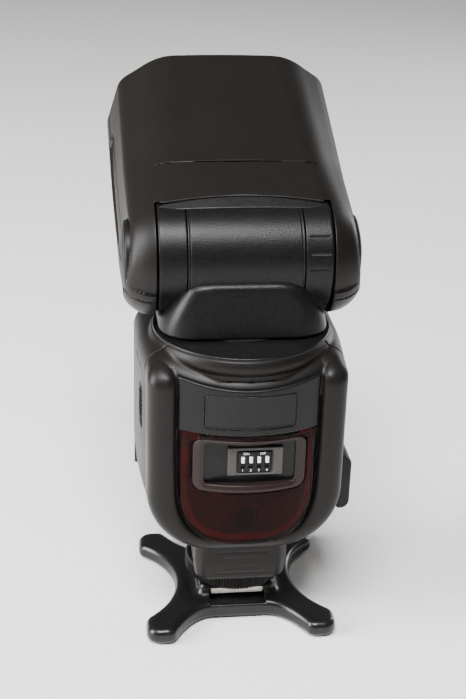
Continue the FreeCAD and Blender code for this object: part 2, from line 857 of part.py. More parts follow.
def make_shells():
    outside = body_solid("body_outside", 0, d.body_top)
    inside = body_solid("body_inside", d.wall, d.cavity_top)
    hollow = cut("body_hollow", outside, inside)
    seat = rod(
        "platform_seat",
        d.platform_radius + 0.1,
        "Z",
        (0, 0, d.platform_bottom),
        10,
    )
    cable = rod("cable_way", d.cable_radius, "Z", (0, 0, d.cavity_top - 1), 10)
    wide = (-BEYOND, BEYOND)
    tall = (0, 3 * BEYOND)
    front_space = block("front_space", wide, (-BEYOND, -d.split), tall)
    rear_space = block("rear_space", wide, (-d.split, BEYOND), tall)

    front_half = common("front_half", hollow, front_space)
    screw_heights = (d.low_screw_z, d.high_screw_z)
    bolt_places = (-d.foot_bolt_x, d.foot_bolt_x)
    post_start = -d.front_post_start
    front_posts = [
        rod(
            f"front_post_{i}",
            d.front_post_radius,
            "Y",
            (d.screw_x, post_start, z),
            d.front_post_start - d.split,
        )
        for i, z in enumerate(screw_heights, start=1)
    ]
    window_ring = cut(
        "window_recess",
        prism("window_recess_space", "XZ_Plane", window_outline(0.15), -40, -20),
        crown("window_recess_back", 3.2, 20, 90),
    )
    window_hole = prism("window_hole", "XZ_Plane", window_outline(-1.5), -40, -15)
    badge_recess = cut(
        "badge_recess",
        badge_space("badge_recess_space", 0.1),
        crown("badge_recess_back", 0.8, 70, 100),
    )
    front = cut(
        "front_shell",
        fuse("front_blank", front_half, *front_posts),
        seat,
        cable,
        window_ring,
        window_hole,
        badge_recess,
        *[body_screw(f"front_screw_way_{i}", z, 0) for i, z in enumerate(screw_heights, start=1)],
    )
    keep(front)

    rear_half = common("rear_half", hollow, rear_space)
    rear_posts = [
        rod(
            f"rear_post_{i}",
            d.rear_post_radius,
            "Y",
            (d.screw_x, -d.split, z),
            d.split + d.body_rear - 1,
        )
        for i, z in enumerate(screw_heights, start=1)
    ]
    port = block(
        "port_boss",
        (24, d.port_side),
        (-d.port_front, d.port_back),
        (d.port_bottom, d.port_top),
    )
    port_outline = rectangle(-d.port_front, d.port_back, d.port_bottom, d.port_top, 3)
    port_round = prism("port_round", "YZ_Plane", port_outline, 20, 45)
    boss = common("port_block", port, port_round)
    display_way = block("display_way", (-20.5, 20.5), (20, 40), (67, 89))
    keep(
        cut(
            "rear_shell",
            fuse("rear_blank", rear_half, boss, *rear_posts),
            seat,
            cable,
            display_way,
            door_space("door_way", d.gap),
            knuckle("knuckle_way", d.knuckle_radius + 0.15, d.gap),
            block(
                "knuckle_mouth",
                (-40, -knuckle_x()),
                (d.door_back, KNUCKLE_Y + d.knuckle_radius + 0.25),
                (d.door_bottom - d.gap, d.door_top + d.gap),
            ),
            rod("sync_way", 3.0, "X", (26, d.socket_y, d.socket_z), 20),
            block(
                "power_way",
                (26, 45),
                (d.plug_front - 0.1, d.plug_back + 0.1),
                (d.plug_bottom - 0.1, d.plug_top + 0.1),
            ),
            *rear_stem_holes("rear_stem_hole"),
            *[
                body_screw(f"rear_screw_way_{i}", z, 0.1)
                for i, z in enumerate(screw_heights, start=1)
            ],
            *[foot_bolt(f"bolt_way_{i}", x, 0.1) for i, x in enumerate(bolt_places, start=1)],
        )
    )
    long_screws = [
        body_screw(f"body_screw_{i}", z, 0) for i, z in enumerate(screw_heights, start=1)
    ]
    bolts = [foot_bolt(f"foot_bolt_{i}", x, 0) for i, x in enumerate(bolt_places, start=1)]
    keep(group("body_screws", *long_screws, *bolts))

    door_shell = cut(
        "door_wall",
        body_solid("door_outside", 0, d.body_top),
        body_solid("door_inside", d.wall, d.cavity_top),
    )
    grip_way = block(
        "latch_way",
        (-BEYOND, 0.1 - d.latch_back),
        (-d.latch_front - d.gap, d.gap - d.latch_rear),
        (d.latch_bottom - d.latch_travel - 0.3, d.latch_top + d.gap),
    )
    skin = common("door_skin", door_shell, door_space("door_space", 0))
    barrel = knuckle("door_knuckle", d.knuckle_radius, 0)
    keep(cut("battery_door", fuse("door_blank", skin, barrel), grip_way))
    keep(make_latch())


def make_latch():
    """The ribbed thumb slide that frees the battery door."""
    depth = (-d.latch_front, -d.latch_rear)
    outer = -d.latch_side
    base = block("latch_base", (outer, -d.latch_back), depth, (d.latch_bottom, d.latch_top))
    ribs = []
    for i in range(7):
        low = d.latch_bottom + 0.6 + d.rib_pitch * i
        ribs.append(block(f"latch_rib_{i}", (outer - 0.6, outer), depth, (low, low + d.rib_width)))
    return fuse("door_latch", base, *ribs)


# ---- front panel pieces ------------------------------------------------------------------------


def make_window():
    outline = prism("window_prism", "XZ_Plane", window_outline(0), -40, -20)
    skin = common("window_skin", outline, crown("window_front", 0.3, 20, 90))
    back = crown("window_back", 2.3, 20, 90)
    keep(cut("sensor_window", skin, back, tray_space("window_tray_hole", 0.8, -15)))
    keep(
        block(
            "optical_sensor",
            (-d.sensor_left, d.sensor_right),
            (-d.sensor_face, -d.sensor_back),
            (d.sensor_bottom, d.sensor_top),
        )
    )


def make_tray():
    """A black tray let into the window, with a raised rim and a frame round the DIP switch."""
    half = d.tray_half_width + d.tray_rim
    outline = rectangle(-half, half, d.tray_bottom - 2, d.tray_top + 1, 3)
    flange = cut(
        "tray_flange",
        common(
            "tray_flange_skin",
            prism("tray_flange_prism", "XZ_Plane", outline, -40, -20),
            crown("tray_flange_front", -0.5, 20, 90),
        ),
        crown("tray_flange_back", 0.25, 20, 90),
    )
    tub = common(
        "tray_tub",
        tray_space("tray_tub_space", 0.7, -25.5),
        crown("tray_tub_front", -0.5, 20, 90),
    )
    frame = block(
        "tray_frame",
        (-d.frame_left, d.frame_right),
        (-d.frame_face, -d.frame_back),
        (d.frame_bottom, d.frame_top),
    )
    hollow = tray_space("tray_hollow", 0, -26.5)
    left = d.dip_centre - d.dip_half_width
    right = d.dip_centre + d.dip_half_width
    seat = block(
        "dip_seat",
        (left - 0.1, right + 0.1),
        (-BEYOND, 0.05 - d.dip_back),
        (d.dip_bottom - 0.1, d.dip_top + 0.1),
    )
    shell = cut("tray_shell", fuse("tray_blank", flange, tub), hollow)
    keep(cut("dip_tray", fuse("tray_framed", shell, frame), seat))

    slots = []
    for index in range(4):
        x = d.dip_centre + d.lever_pitch * (index - 1.5)
        slots.append(
            block(
                f"lever_slot_{index + 1}",
                (x - d.lever_slot_half, x + d.lever_slot_half),
                (-BEYOND, 0.05 - d.lever_foot),
                (d.lever_slot_bottom, d.lever_slot_top),
            )
        )
        keep(
            block(
                f"dip_slider_{index + 1}",
                (x - d.lever_half, x + d.lever_half),
                (-d.lever_face, -d.lever_foot),
                (d.lever_bottom, d.lever_top),
            )
        )
    depth = (-d.dip_face, -d.dip_back)
    housing = block("dip_blank", (left, right), depth, (d.dip_bottom, d.dip_top))
    keep(cut("dip_housing", housing, *slots))


def make_badge():
    keep(
        cut(
            "badge",
            common(
                "badge_skin",
                badge_space("badge_space", 0),
                crown("badge_front", -0.3, 70, 100),
            ),
            crown("badge_back", 0.75, 70, 100),
        )
    )


# ---- inside the body ---------------------------------------------------------------------------


def cell_places():
    half = d.cell_pitch / 2
    return [(d.pack_x + half * sx, d.pack_y + half * sy) for sx in (-1, 1) for sy in (-1, 1)]


def make_battery():
    reach = d.cell_pitch / 2 + d.cell_radius + 1.4
    low = d.cell_bottom - 2.6
    cell_top = d.cell_bottom + d.cell_length
    box = block(
        "holder_box",
        (d.pack_x - reach, d.pack_x + reach),
        (d.pack_y - reach, d.pack_y + reach),
        (low, cell_top + 2.4),
    )
    chamber = body_solid("holder_limit", d.wall + 0.45, d.cavity_top)
    bores = [
        rod(f"cell_bore_{i}", d.cell_radius + 0.15, "Z", (x, y, low + 1.4), 54)
        for i, (x, y) in enumerate(cell_places(), start=1)
    ]
    opening = block(
        "cell_way",
        (d.pack_x - 20, d.pack_x - 4),
        (d.pack_y - d.cell_pitch, d.pack_y + d.cell_pitch),
        (low + 1.4, cell_top + 1.2),
    )
    keep(cut("battery_holder", common("holder_blank", box, chamber), *bores, opening))
    cells = []
    contacts = []
    for i, (x, y) in enumerate(cell_places(), start=1):
        can_length = d.cell_length - d.nub_height
        can_top = d.cell_bottom + can_length
        can = rod(f"cell_can_{i}", d.cell_radius, "Z", (x, y, d.cell_bottom), can_length)
        nub = rod(f"cell_nub_{i}", d.nub_radius, "Z", (x, y, can_top), d.nub_height)
        cells.append(fuse(f"cell_{i}", can, nub))
        contact = d.contact_radius
        contacts.append(rod(f"contact_low_{i}", contact, "Z", (x, y, low + 1.45), 1.1))
        contacts.append(rod(f"contact_high_{i}", contact, "Z", (x, y, cell_top + 0.05), 1.0))
    keep(group("battery_cells", *cells))
    keep(group("battery_contacts", *contacts))


def make_electronics():
    board = block(
        "board_blank",
        (-d.board_left, d.board_right),
        (d.board_front, d.board_back),
        (d.board_bottom, d.board_top),
    )
    notches = [
        rod(f"board_notch_{i}", d.board_notch_radius, "Y", (d.screw_x, 15, z), 8)
        for i, z in enumerate((d.low_screw_z, d.high_screw_z), start=1)
    ]
    keep(cut("main_board", board, *notches))
    base = (d.capacitor_x, d.capacitor_y, d.capacitor_bottom)
    keep(rod("main_capacitor", d.capacitor_radius, "Z", base, d.capacitor_length))
    keep(block("trigger_transformer", (9, 22), (-20, -9), (60, 74)))
    half = d.module_half
    depth = (d.module_front, d.module_back)
    keep(block("display_module", (-half, half), depth, (d.module_bottom, d.module_top)))
    socket_end = d.port_side - 0.2
    start = d.socket_start
    mouth = (start, d.socket_y, d.socket_z)
    keep(tube("sync_socket", 2.95, 1.75, "X", mouth, socket_end - start))
    plug = block(
        "power_blank",
        (start, socket_end),
        (d.plug_front, d.plug_back),
        (d.plug_bottom, d.plug_top),
    )
    pins = [
        rod(f"power_pin_way_{i}", 1.1, "X", (29, y, z), 10)
        for i, (y, z) in enumerate(((5.2, 48), (9.3, 48), (7.25, 44)), start=1)
    ]
    keep(cut("power_socket", plug, *pins))


# ---- rear panel --------------------------------------------------------------------------------

PANEL_BACK = 1.6
PRESS_TRAVEL = 0.8


def make_rear_panel():
    rear = d.body_rear
    half = d.rear_panel_half
    low = d.rear_panel_bottom
    outline = rectangle(-half, half, low, d.rear_panel_top, d.rear_panel_corner)
    plate = prism("panel_plate", "XZ_Plane", outline, rear, rear + PANEL_BACK)
    half = d.display_half
    low = d.display_bottom
    high = d.display_top
    display = rectangle(-half, half, low, high, 1.5)
    opening = prism("panel_opening", "XZ_Plane", display, rear - 1, rear + 3)
    pad_x, pad_z = PAD_PLACE
    holes = [
        rod(f"panel_hole_{name}", radius + 0.25, "Y", (x, rear - 1, z), 5)
        for name, (x, z, radius) in BUTTONS.items()
    ]
    holes.append(rod("panel_hole_pad", PAD_RADIUS + 0.25, "Y", (pad_x, rear - 1, pad_z), 5))
    keep(cut("rear_panel", plate, opening, *holes))
    pane = rectangle(0.1 - half, half - 0.1, low + 0.1, high - 0.1, 1.4)
    keep(prism("display_window", "XZ_Plane", pane, rear + 0.05, rear + 1.2))

    cap_back = rear + PRESS_TRAVEL + 0.1
    for name, (x, z, radius) in BUTTONS.items():
        keep(button(name, x, z, radius, cap_back))
    keep(button("ok_button", pad_x, pad_z, OK_RADIUS, cap_back))
    disc = rod("pad_disc", PAD_RADIUS, "Y", (pad_x, cap_back, pad_z), 2)
    eye = rod("pad_eye", OK_RADIUS + 0.25, "Y", (pad_x, cap_back, pad_z), 2)
    legs = [
        rod(f"pad_leg_{i}", STEM_RADIUS, "Y", (x, d.stem_start, pad_z), cap_back - d.stem_start)
        for i, x in enumerate((pad_x - d.pad_leg_x, pad_x + d.pad_leg_x), start=1)
    ]
    keep(cut("pad_ring", fuse("pad_blank", disc, *legs), eye))


def button(name, x, z, radius, cap_back):
    cap = rod(f"{name}_cap", radius, "Y", (x, cap_back, z), 2.4)
    stem = rod(f"{name}_stem", STEM_RADIUS, "Y", (x, d.stem_start, z), cap_back - d.stem_start)
    return fuse(name, cap, stem)


def make_port_cover():
    """The rubber flap over the sockets, with a bevelled outer face."""
    skin = d.port_side + d.running_gap
    low = d.port_bottom - 1
    outline = rectangle(-d.port_front, d.port_back, low, d.port_top, 3)
    outer = prism("cover_prism", "YZ_Plane", outline, skin, d.cover_side)
    bevel = [
        (skin, low),
        (d.cover_side - 1.8, low),
        (d.cover_side, low + 3),
        (d.cover_side, d.port_top - 3),
        (d.cover_side - 1.8, d.port_top),
        (skin, d.port_top),
    ]
    bevelled = prism("cover_bevel", "XZ_Plane", bevel, -d.port_front, d.port_back)
    flap = common("cover_flap", outer, bevelled)
    bead_x = skin + d.bead_radius + 0.05
    bead = rod("cover_bead", d.bead_radius, "Z", (bead_x, d.port_back + 0.2, low + 2), d.bead_length)
    keep(fuse("port_cover", flap, bead))


# ---- swivel platform, neck and barrel ----------------------------------------------------------


def make_platform():
    recess = d.flange_radius + 0.3
    ceiling = d.platform_bottom + 2.5
    keep(
        turned(
            "swivel_platform",
            [
                (recess, d.platform_bottom),
                (d.platform_radius - 1, d.platform_bottom),
                (d.platform_radius, d.platform_bottom + 1),
                (d.platform_radius, d.platform_top - 0.5),
                (d.platform_radius - 0.5, d.platform_top),
                (d.swivel_bore, d.platform_top),
                (d.swivel_bore, ceiling),
                (recess, ceiling),
            ],
            "Z",
        )
    )
    low = d.platform_bottom + 0.2
    shank = d.swivel_bore - d.running_gap
    keep(
        turned(
            "swivel_flange",
            [
                (d.flange_bore, low),
                (d.flange_radius, low),
                (d.flange_radius, low + 2.1),
                (shank, low + 2.1),
                (shank, d.neck_bottom),
                (d.flange_bore, d.neck_bottom),
            ],
            "Z",
        )
    )


def make_neck():
    """A yoke that rises from a round-cornered foot to hold the barrel, front and back."""
    side = d.neck_half_width
    top = d.hinge_height - 3.6
    plan = prism(
        "neck_plan",
        "XY_Plane",
        rectangle(-side, side, -d.neck_front, d.neck_back, d.neck_corner),
        d.neck_bottom,
        top,
    )
    profile = prism(
        "neck_profile",
        "YZ_Plane",
        [
            (-d.neck_front, d.neck_bottom),
            (d.neck_back, d.neck_bottom),
            (d.neck_back, top),
            (d.neck_lean - d.neck_front, top),
        ],
        -BEYOND,
        BEYOND,
    )
    face = prism(
        "neck_face",
        "XZ_Plane",
        [
            (side, d.neck_bottom),
            (side, d.neck_bottom + d.neck_shoulder),
            (side - d.neck_slope, top),
            (d.neck_slope - side, top),
            (-side, d.neck_bottom + d.neck_shoulder),
            (-side, d.neck_bottom),
        ],
        -BEYOND,
        BEYOND,
    )
    barrel_way = rod(
        "barrel_way",
        d.barrel_radius + d.running_gap,
        "X",
        (-BEYOND, d.hinge_forward, d.hinge_height),
        2 * BEYOND,
    )
    cable = rod("neck_cable_way", d.neck_cable_radius, "Z", (0, 0, d.neck_bottom - 1), 10)
    keep(cut("neck_yoke", common("neck_blank", plan, profile, face), barrel_way, cable))


def at_hinge(item):
    """Set a piece that is drawn about the X axis on the hinge axis."""
    bind(item, "Placement.Base.y", d.hinge_forward)
    bind(item, "Placement.Base.z", d.hinge_height)
    return keep(item)


def make_barrel():
    radius = d.barrel_radius
    joint = d.barrel_joint
    bore = d.axle_radius + 0.02
    inside = radius - d.barrel_wall
    at_hinge(
        turned(
            "barrel_cover",
            [(-joint, inside), (joint, inside), (joint, radius), (-joint, radius)],
            "X",
        )
    )
    for name, way in (("barrel_end_left", -1), ("barrel_end_right", 1)):
        inner = joint + 0.3
        outer = d.neck_half_width
        outline = [
            (inner * way, inside),
            (inner * way, radius),
            (outer * way, radius),
            (outer * way, bore),
            ((outer - d.barrel_wall) * way, bore),
            ((outer - d.barrel_wall) * way, inside),
        ]
        at_hinge(turned(name, outline, "X"))
    at_hinge(
        turned(
            "tilt_axle",
            [
                (-d.axle_left, d.axle_radius - d.axle_wall),
                (d.axle_right, d.axle_radius - d.axle_wall),
                (d.axle_right, d.axle_radius),
                (-d.axle_left, d.axle_radius),
            ],
            "X",
        )
    )


# ---- head --------------------------------------------------------------------------------------


def head_section(name, along, inset):
    """The head's eight-sided section at a distance from the hinge, shrunk by an inset."""
    share = as_size(along) / d.head_length

    def between(near, far):
        return near + (far - near) * share

    top = between(d.near_top, d.far_top) - inset
    flat = between(d.near_flat, d.far_flat) - inset / 2
    side = between(d.near_side, d.far_side) - inset
    hip = between(d.near_hip, d.far_hip) - inset
    shoulder = between(d.near_shoulder, d.far_shoulder) - inset / 2
    waist = between(d.near_waist, d.far_waist) - inset / 2
    bottom = between(d.near_bottom, d.far_bottom) - inset
    sole = between(d.near_sole, d.far_sole) - inset / 2
    right = [(sole, -bottom), (hip, -waist), (side, shoulder), (flat, top)]
    left = [(-x, z) for x, z in reversed(right)]
    sketch = doc.addObject("Sketcher::SketchObject", name)
    sketch.Placement = FreeCAD.Placement(Vector(), FreeCAD.Rotation(Vector(1, 0, 0), 90))
    bind(sketch, "Placement.Base.y", along)
    draw_outline(sketch, right + left)
    return sketch


def head_loft(name, start, end, inset):
    item = doc.addObject("Part::Loft", name)
    item.Sections = [
        head_section(f"{name}_near", start, inset),
        head_section(f"{name}_far", end, inset),
    ]
    item.Solid = True
    item.Ruled = True
    return item


def ear(name, way):
    """The round cheek beside the barrel, bevelled on its outer edge like the head's shoulder."""
    outline = [
        (d.ear_inside * way, 0),
        (d.cheek_side * way, 0),
        (d.cheek_side * way, d.cheek_round),
        (d.cheek_flat * way, d.ear_radius),
        (d.ear_inside * way, d.ear_radius),
    ]
    return turned(name, outline, "X")


def head_screw_places():
    near = d.near_screw
    far = d.far_screw
    return [(d.head_screw_x * side, along) for side in (-1, 1) for along in (near, far)]


def head_screw(name, x, y, slack):
    """A screw that runs up from the head's underside."""
    low = -d.head_screw_bottom
    height = d.head_screw_head
    head = rod(f"{name}_head", 1.8 + slack, "Z", (x, y, low), height)
    shank = rod(f"{name}_shank", 0.95 + slack, "Z", (x, y, low + height), 16)
    if not slack:
        return fuse(name, head, shank)
    way = rod(f"{name}_way", 1.9, "Z", (x, y, -BEYOND), BEYOND + low)
    return fuse(name, head, shank, way)


def make_head_shells():
    length = d.head_length
    blank = fuse(
        "head_blank",
        head_loft("head_outside", 0, length, 0),
        ear("ear_left", -1),
        ear("ear_right", 1),
    )
    inside = d.ear_inside
    chamber = head_loft("head_inside", d.chamber_start, length + 1, d.wall)
    barrel = rod("head_barrel_way", d.barrel_radius + 0.3, "X", (-inside, 0, 0), inside * 2)
    neck = block("head_neck_way", (-inside, inside), (-1, 19.8), (-BEYOND, 0))
    wide = 2 * BEYOND
    axle = rod("head_axle_way", d.axle_radius + d.running_gap, "X", (-BEYOND, 0, 0), wide)
    floor = BEYOND - 31.7
    pocket = rod("button_pocket", d.button_radius + 0.3, "X", (-BEYOND, 0, 0), floor)
    cap_way = rod("cap_pocket", d.cap_radius + 0.1, "X", (d.cap_seat, 0, 0), 10)
    posts = [
        rod(f"head_post_{i}", d.head_post_radius, "Z", (x, y, -d.head_post_bottom), d.head_post_height)
        for i, (x, y) in enumerate(head_screw_places(), start=1)
    ]
    screw_ways = [
        head_screw(f"head_screw_way_{i}", x, y, 0.02)
        for i, (x, y) in enumerate(head_screw_places(), start=1)
    ]
    hollow = cut("head_hollow", blank, chamber, barrel, neck, axle, pocket, cap_way)
    posted = cut("head_posted", fuse("head_with_posts", hollow, *posts), *screw_ways)
    across = (-BEYOND, BEYOND)
    along = (-BEYOND, 2 * BEYOND)
    upper = block("upper_space", across, along, (-d.seam, BEYOND))
    lower = block("lower_space", across, along, (-BEYOND, -d.seam))
    on_head(common("head_upper_shell", posted, upper))
    on_head(common("head_lower_shell", posted, lower))
    screws = [
        head_screw(f"head_screw_{i}", x, y, 0)
        for i, (x, y) in enumerate(head_screw_places(), start=1)
    ]
    on_head(group("head_screws", *screws))


def make_head_window():
    plug = head_loft("bezel_plug", d.bezel_start, d.head_length + 0.4, d.wall + 0.1)
    half = d.lens_half_width
    tall = d.lens_half_height
    drop = d.lens_drop
    lip = d.lens_lip
    outline = rectangle(-half, half, -tall - drop, tall - drop, 2.5)
    through = (60, 90)
    opening = prism("bezel_opening", "XZ_Plane", outline, *through)
    slot_half = d.card_slot_half
    slot_sides = (-slot_half, slot_half)
    slot = block("card_slot", slot_sides, through, (d.card_slot_bottom, d.card_slot_top))
    on_head(cut("window_bezel", plug, opening, slot))
    pane = rectangle(-half - lip, half + lip, -tall - lip, tall, 3)
    on_head(prism("fresnel_lens", "XZ_Plane", pane, d.bezel_start - 2, d.bezel_start - 0.05))
    half = d.card_half_width
    along = (d.card_start, d.head_length)
    card = block("card_sheet", (-half, half), along, (d.card_bottom, d.card_top))
    on_head(group("catch_card", card))
    along = (d.panel_start, d.head_length)
    panel = block("panel_sheet", (-half, half), along, (d.wide_panel_bottom, d.wide_panel_top))
    on_head(group("wide_panel", panel))


def make_zoom():
    """The flash tube in its trough, on a carriage driven by a screw and a small motor."""
    start = d.reflector_start
    end = start + d.reflector_depth
    radius = d.trough_radius
    middle = start + 2 + radius
    lift = d.trough_lift
    half = d.trough_half
    shell = block("trough_box", (-half, half), (start, end), (lift - radius - 1, lift + radius + 1))
    trough_outline = [
        (end + 1, lift - radius),
        (end + 1, lift + radius),
        (middle, lift + radius),
        (middle - radius, lift, radius),
        (middle, lift - radius, radius),
    ]
    inside = half - d.trough_wall
    trough = prism("trough_way", "YZ_Plane", trough_outline, -inside, inside)
    lug = block("zoom_lug", (-3.5, 3.5), (start + 6, start + 12), (-16.4, lift - radius - 1))
    nut = rod("zoom_nut_way", d.zoom_radius + 0.1, "Y", (0, start, -d.screw_drop), 20)
    tube_y = middle - 3.5
    tube_way = rod("tube_way", d.tube_radius + 0.1, "X", (-BEYOND, tube_y, lift), 2 * BEYOND)
    on_head(cut("reflector", fuse("reflector_blank", shell, lug), trough, nut, tube_way))
    half = d.tube_half
    glass = rod("tube_glass", d.tube_radius, "X", (-half, tube_y, lift), half * 2)
    tip = d.electrode_length
    electrodes = [
        rod(f"tube_end_{i}", d.electrode_radius, "X", (x, tube_y, lift), tip)
        for i, x in enumerate((-half - tip, half), start=1)
    ]
    on_head(fuse("flash_tube", glass, *electrodes))
    can = rod("motor_can", d.motor_radius, "Y", (0, d.motor_start, -d.screw_drop), d.motor_length)
    ears = block("motor_ears", (-6, 6), (30.6, 31.6), (-d.screw_drop - 3.5, 3.5 - d.screw_drop))
    on_head(fuse("zoom_motor", can, ears))
    base = (0, d.zoom_start, -d.screw_drop)
    thread = rod("zoom_thread", d.zoom_radius, "Y", base, d.zoom_length)
    on_head(group("zoom_screw", thread))


def make_hinge_trim():
    seat = d.cap_seat + 0.1
    cap = [
        (seat, 0),
        (seat, d.cap_radius),
        (d.cap_side - 1.8, d.cap_radius),
        (d.cap_side - 0.5, d.cap_radius - 2),
        (d.cap_side, d.cap_radius - 6),
        (d.cap_side, 0),
    ]
    on_head(turned("hinge_cap", cap, "X"))
    outer = d.button_side
    push = [
        (-outer, 0),
        (-outer, d.button_radius - 6),
        (0.5 - outer, d.button_radius - 2),
        (1.6 - outer, d.button_radius),
        (-33.6, d.button_radius),
        (-33.6, 0),
    ]
    on_head(turned("tilt_button", push, "X"))


# ---- build, check and write --------------------------------------------------------------------


def check():
    for item in doc.Objects:
        bad = [state for state in item.State if state in ("Invalid", "Error")]
        if bad:
            raise SystemExit(f"{item.Label} is {bad}")
    for item in nodes:
        if item.Shape.isNull() or not item.Shape.isValid() or not item.Shape.Solids:
            raise SystemExit(f"{item.Label} has no valid solid")


def write():
    os.makedirs("parts", exist_ok=True)
    for item in nodes:
        item.Shape.exportStep(os.path.join("parts", f"{item.Label}.step"))
        print(f"{item.Label}: {len(item.Shape.Solids)} solids, {item.Shape.Volume:.0f} mm3")
    print(f"{len(nodes)} nodes")


make_stand()
make_foot()
make_lock()
make_shells()
make_window()
make_tray()
make_badge()
make_battery()
make_electronics()
make_rear_panel()
make_port_cover()
make_platform()
make_neck()
make_barrel()
make_head_shells()
make_head_window()
make_zoom()
make_hinge_trim()
doc.recompute()
check()
write()
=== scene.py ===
"""The looks of a hot-shoe speedlight flash in its mini stand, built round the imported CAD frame.

The moulded parts are fields: functions of x, y and z in millimetres that are negative inside the
part. surface() turns a field into a mesh. The head's fields use the head's own coordinates: x along
the hinge, u from the hinge towards the window and n out of the top cover.
"""
import json
import math

import bpy
import numpy as np
from mathutils import Matrix, Vector


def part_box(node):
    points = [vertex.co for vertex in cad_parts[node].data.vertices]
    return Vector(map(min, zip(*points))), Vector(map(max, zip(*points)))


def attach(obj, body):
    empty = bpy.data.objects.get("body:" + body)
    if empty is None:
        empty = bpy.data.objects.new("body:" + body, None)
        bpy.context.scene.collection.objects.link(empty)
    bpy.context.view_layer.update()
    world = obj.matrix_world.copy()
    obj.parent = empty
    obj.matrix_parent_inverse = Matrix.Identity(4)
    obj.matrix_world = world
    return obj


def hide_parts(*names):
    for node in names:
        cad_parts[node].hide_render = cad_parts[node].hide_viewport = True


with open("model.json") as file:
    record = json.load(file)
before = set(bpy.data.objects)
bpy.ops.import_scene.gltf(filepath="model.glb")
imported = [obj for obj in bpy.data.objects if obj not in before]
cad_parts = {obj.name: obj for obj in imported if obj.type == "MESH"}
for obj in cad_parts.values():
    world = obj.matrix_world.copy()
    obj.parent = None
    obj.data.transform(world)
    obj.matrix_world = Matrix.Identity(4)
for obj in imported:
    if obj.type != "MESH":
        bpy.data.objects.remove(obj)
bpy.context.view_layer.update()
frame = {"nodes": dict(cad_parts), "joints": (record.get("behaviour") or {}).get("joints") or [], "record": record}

MM = 0.001
joints = {joint["name"]: joint for joint in frame["joints"]}
HINGE = Vector(joints["head_tilt"]["pos_m"]) / MM
HEAD_TILT = math.radians(22)
WORLD = Matrix.Scale(MM, 4)
HEAD = WORLD @ Matrix.Translation(HINGE) @ Matrix.Rotation(HEAD_TILT, 4, "X")
STEP = 0.6


def low_high(node, axis):
    """A CAD node's lowest and highest place along an axis, in millimetres."""
    low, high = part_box(node)
    return low[axis] / MM, high[axis] / MM


# ---- fields ------------------------------------------------------------------------------------


def smooth_max(a, b, width):
    """The larger of two fields, rounded over a width where they are nearly equal."""
    overlap = np.maximum(width - np.abs(a - b), 0)
    return np.maximum(a, b) + overlap * overlap / (4 * width)


def smooth_min(a, b, width):
    """The smaller of two fields, rounded like smooth_max."""
    return -smooth_max(-a, -b, width)


def between(value, low, high):
    """Negative between two places, with the distance to the nearer one."""
    return np.maximum(low - value, value - high)


def rounded(offsets, radius):
    """A box's field from its distances past each pair of faces, with all edges rounded."""
    grown = [np.asarray(offset) + radius for offset in offsets]
    outside = sum(np.maximum(offset, 0) ** 2 for offset in grown) ** 0.5
    inside = np.minimum(np.maximum.reduce(np.broadcast_arrays(*grown)), 0)
    return outside + inside - radius


def smooth_step(value):
    """Eases from 0 to 1 as a value goes from 0 to 1."""
    share = np.clip(value, 0, 1)
    return share * share * (3 - 2 * share)


# ---- meshes ------------------------------------------------------------------------------------


def lines(low, high, step=STEP, fine=()):
    """Grid places from low to high, four times closer within 0.6 mm of each place in fine."""
    places = [np.arange(low - 1, high + 1 + step, step)]
    places += [np.arange(place - 0.6, place + 0.6, step / 4) for place in fine]
    merged = np.unique(np.concatenate(places))
    gaps = np.diff(merged, prepend=merged[0] - step)
    return merged[gaps > step / 6]


def gradient(field, points, reach=0.04):
    """A field's slope at each point, from its values a little way to either side."""
    columns = []
    for axis in range(3):
        shift = np.zeros(3)
        shift[axis] = reach
        ahead = field(*(points + shift).T)
        behind = field(*(points - shift).T)
        columns.append((ahead - behind) / (2 * reach))
    return np.stack(columns, 1)


def surface(name, field, x, y, z, place=WORLD):
    """Meshes a field: one corner in each grid cell that its surface crosses, pulled onto it."""
    axes = (x, y, z)
    inside = field(*np.meshgrid(*axes, indexing="ij")) < 0
    cells = tuple(len(axis) - 1 for axis in axes)
    count = np.zeros(cells, np.int8)
    for i in (0, 1):
        for j in (0, 1):
            for k in (0, 1):
                count += inside[i : i + cells[0], j : j + cells[1], k : k + cells[2]]
    crossed = np.argwhere((count > 0) & (count < 8))
    index = np.full(cells, -1)
    index[tuple(crossed.T)] = np.arange(len(crossed))

    middles = [(axis[1:] + axis[:-1]) / 2 for axis in axes]
    reaches = [np.diff(axis) * 0.7 for axis in axes]
    centre = np.stack([m[crossed[:, a]] for a, m in enumerate(middles)], 1)
    reach = np.stack([r[crossed[:, a]] for a, r in enumerate(reaches)], 1)
    points = centre.copy()
    for _ in range(4):
        slope = gradient(field, points)
        steepness = np.maximum((slope * slope).sum(1), 0.05)
        points -= slope * (field(*points.T) / steepness)[:, None]
        points = np.clip(points, centre - reach, centre + reach)

    quads = []
    for a in range(3):
        b, c = (a + 1) % 3, (a + 2) % 3
        first = inside.take(range(cells[a]), a)
        flips = np.argwhere(first != inside.take(range(1, cells[a] + 1), a))
        shown = (flips[:, b] > 0) & (flips[:, c] > 0)
        shown &= (flips[:, b] < cells[b]) & (flips[:, c] < cells[c])
        flips = flips[shown]
        corners = []
        for back_b, back_c in ((1, 1), (0, 1), (0, 0), (1, 0)):
            cell = flips.copy()
            cell[:, b] -= back_b
            cell[:, c] -= back_c
            corners.append(index[tuple(cell.T)])
        quad = np.stack(corners, 1)
        outward = first[tuple(flips.T)]
        quad[~outward] = quad[~outward][:, ::-1]
        quads.append(quad)
    return mesh_piece(name, points, np.concatenate(quads), gradient(field, points), place)


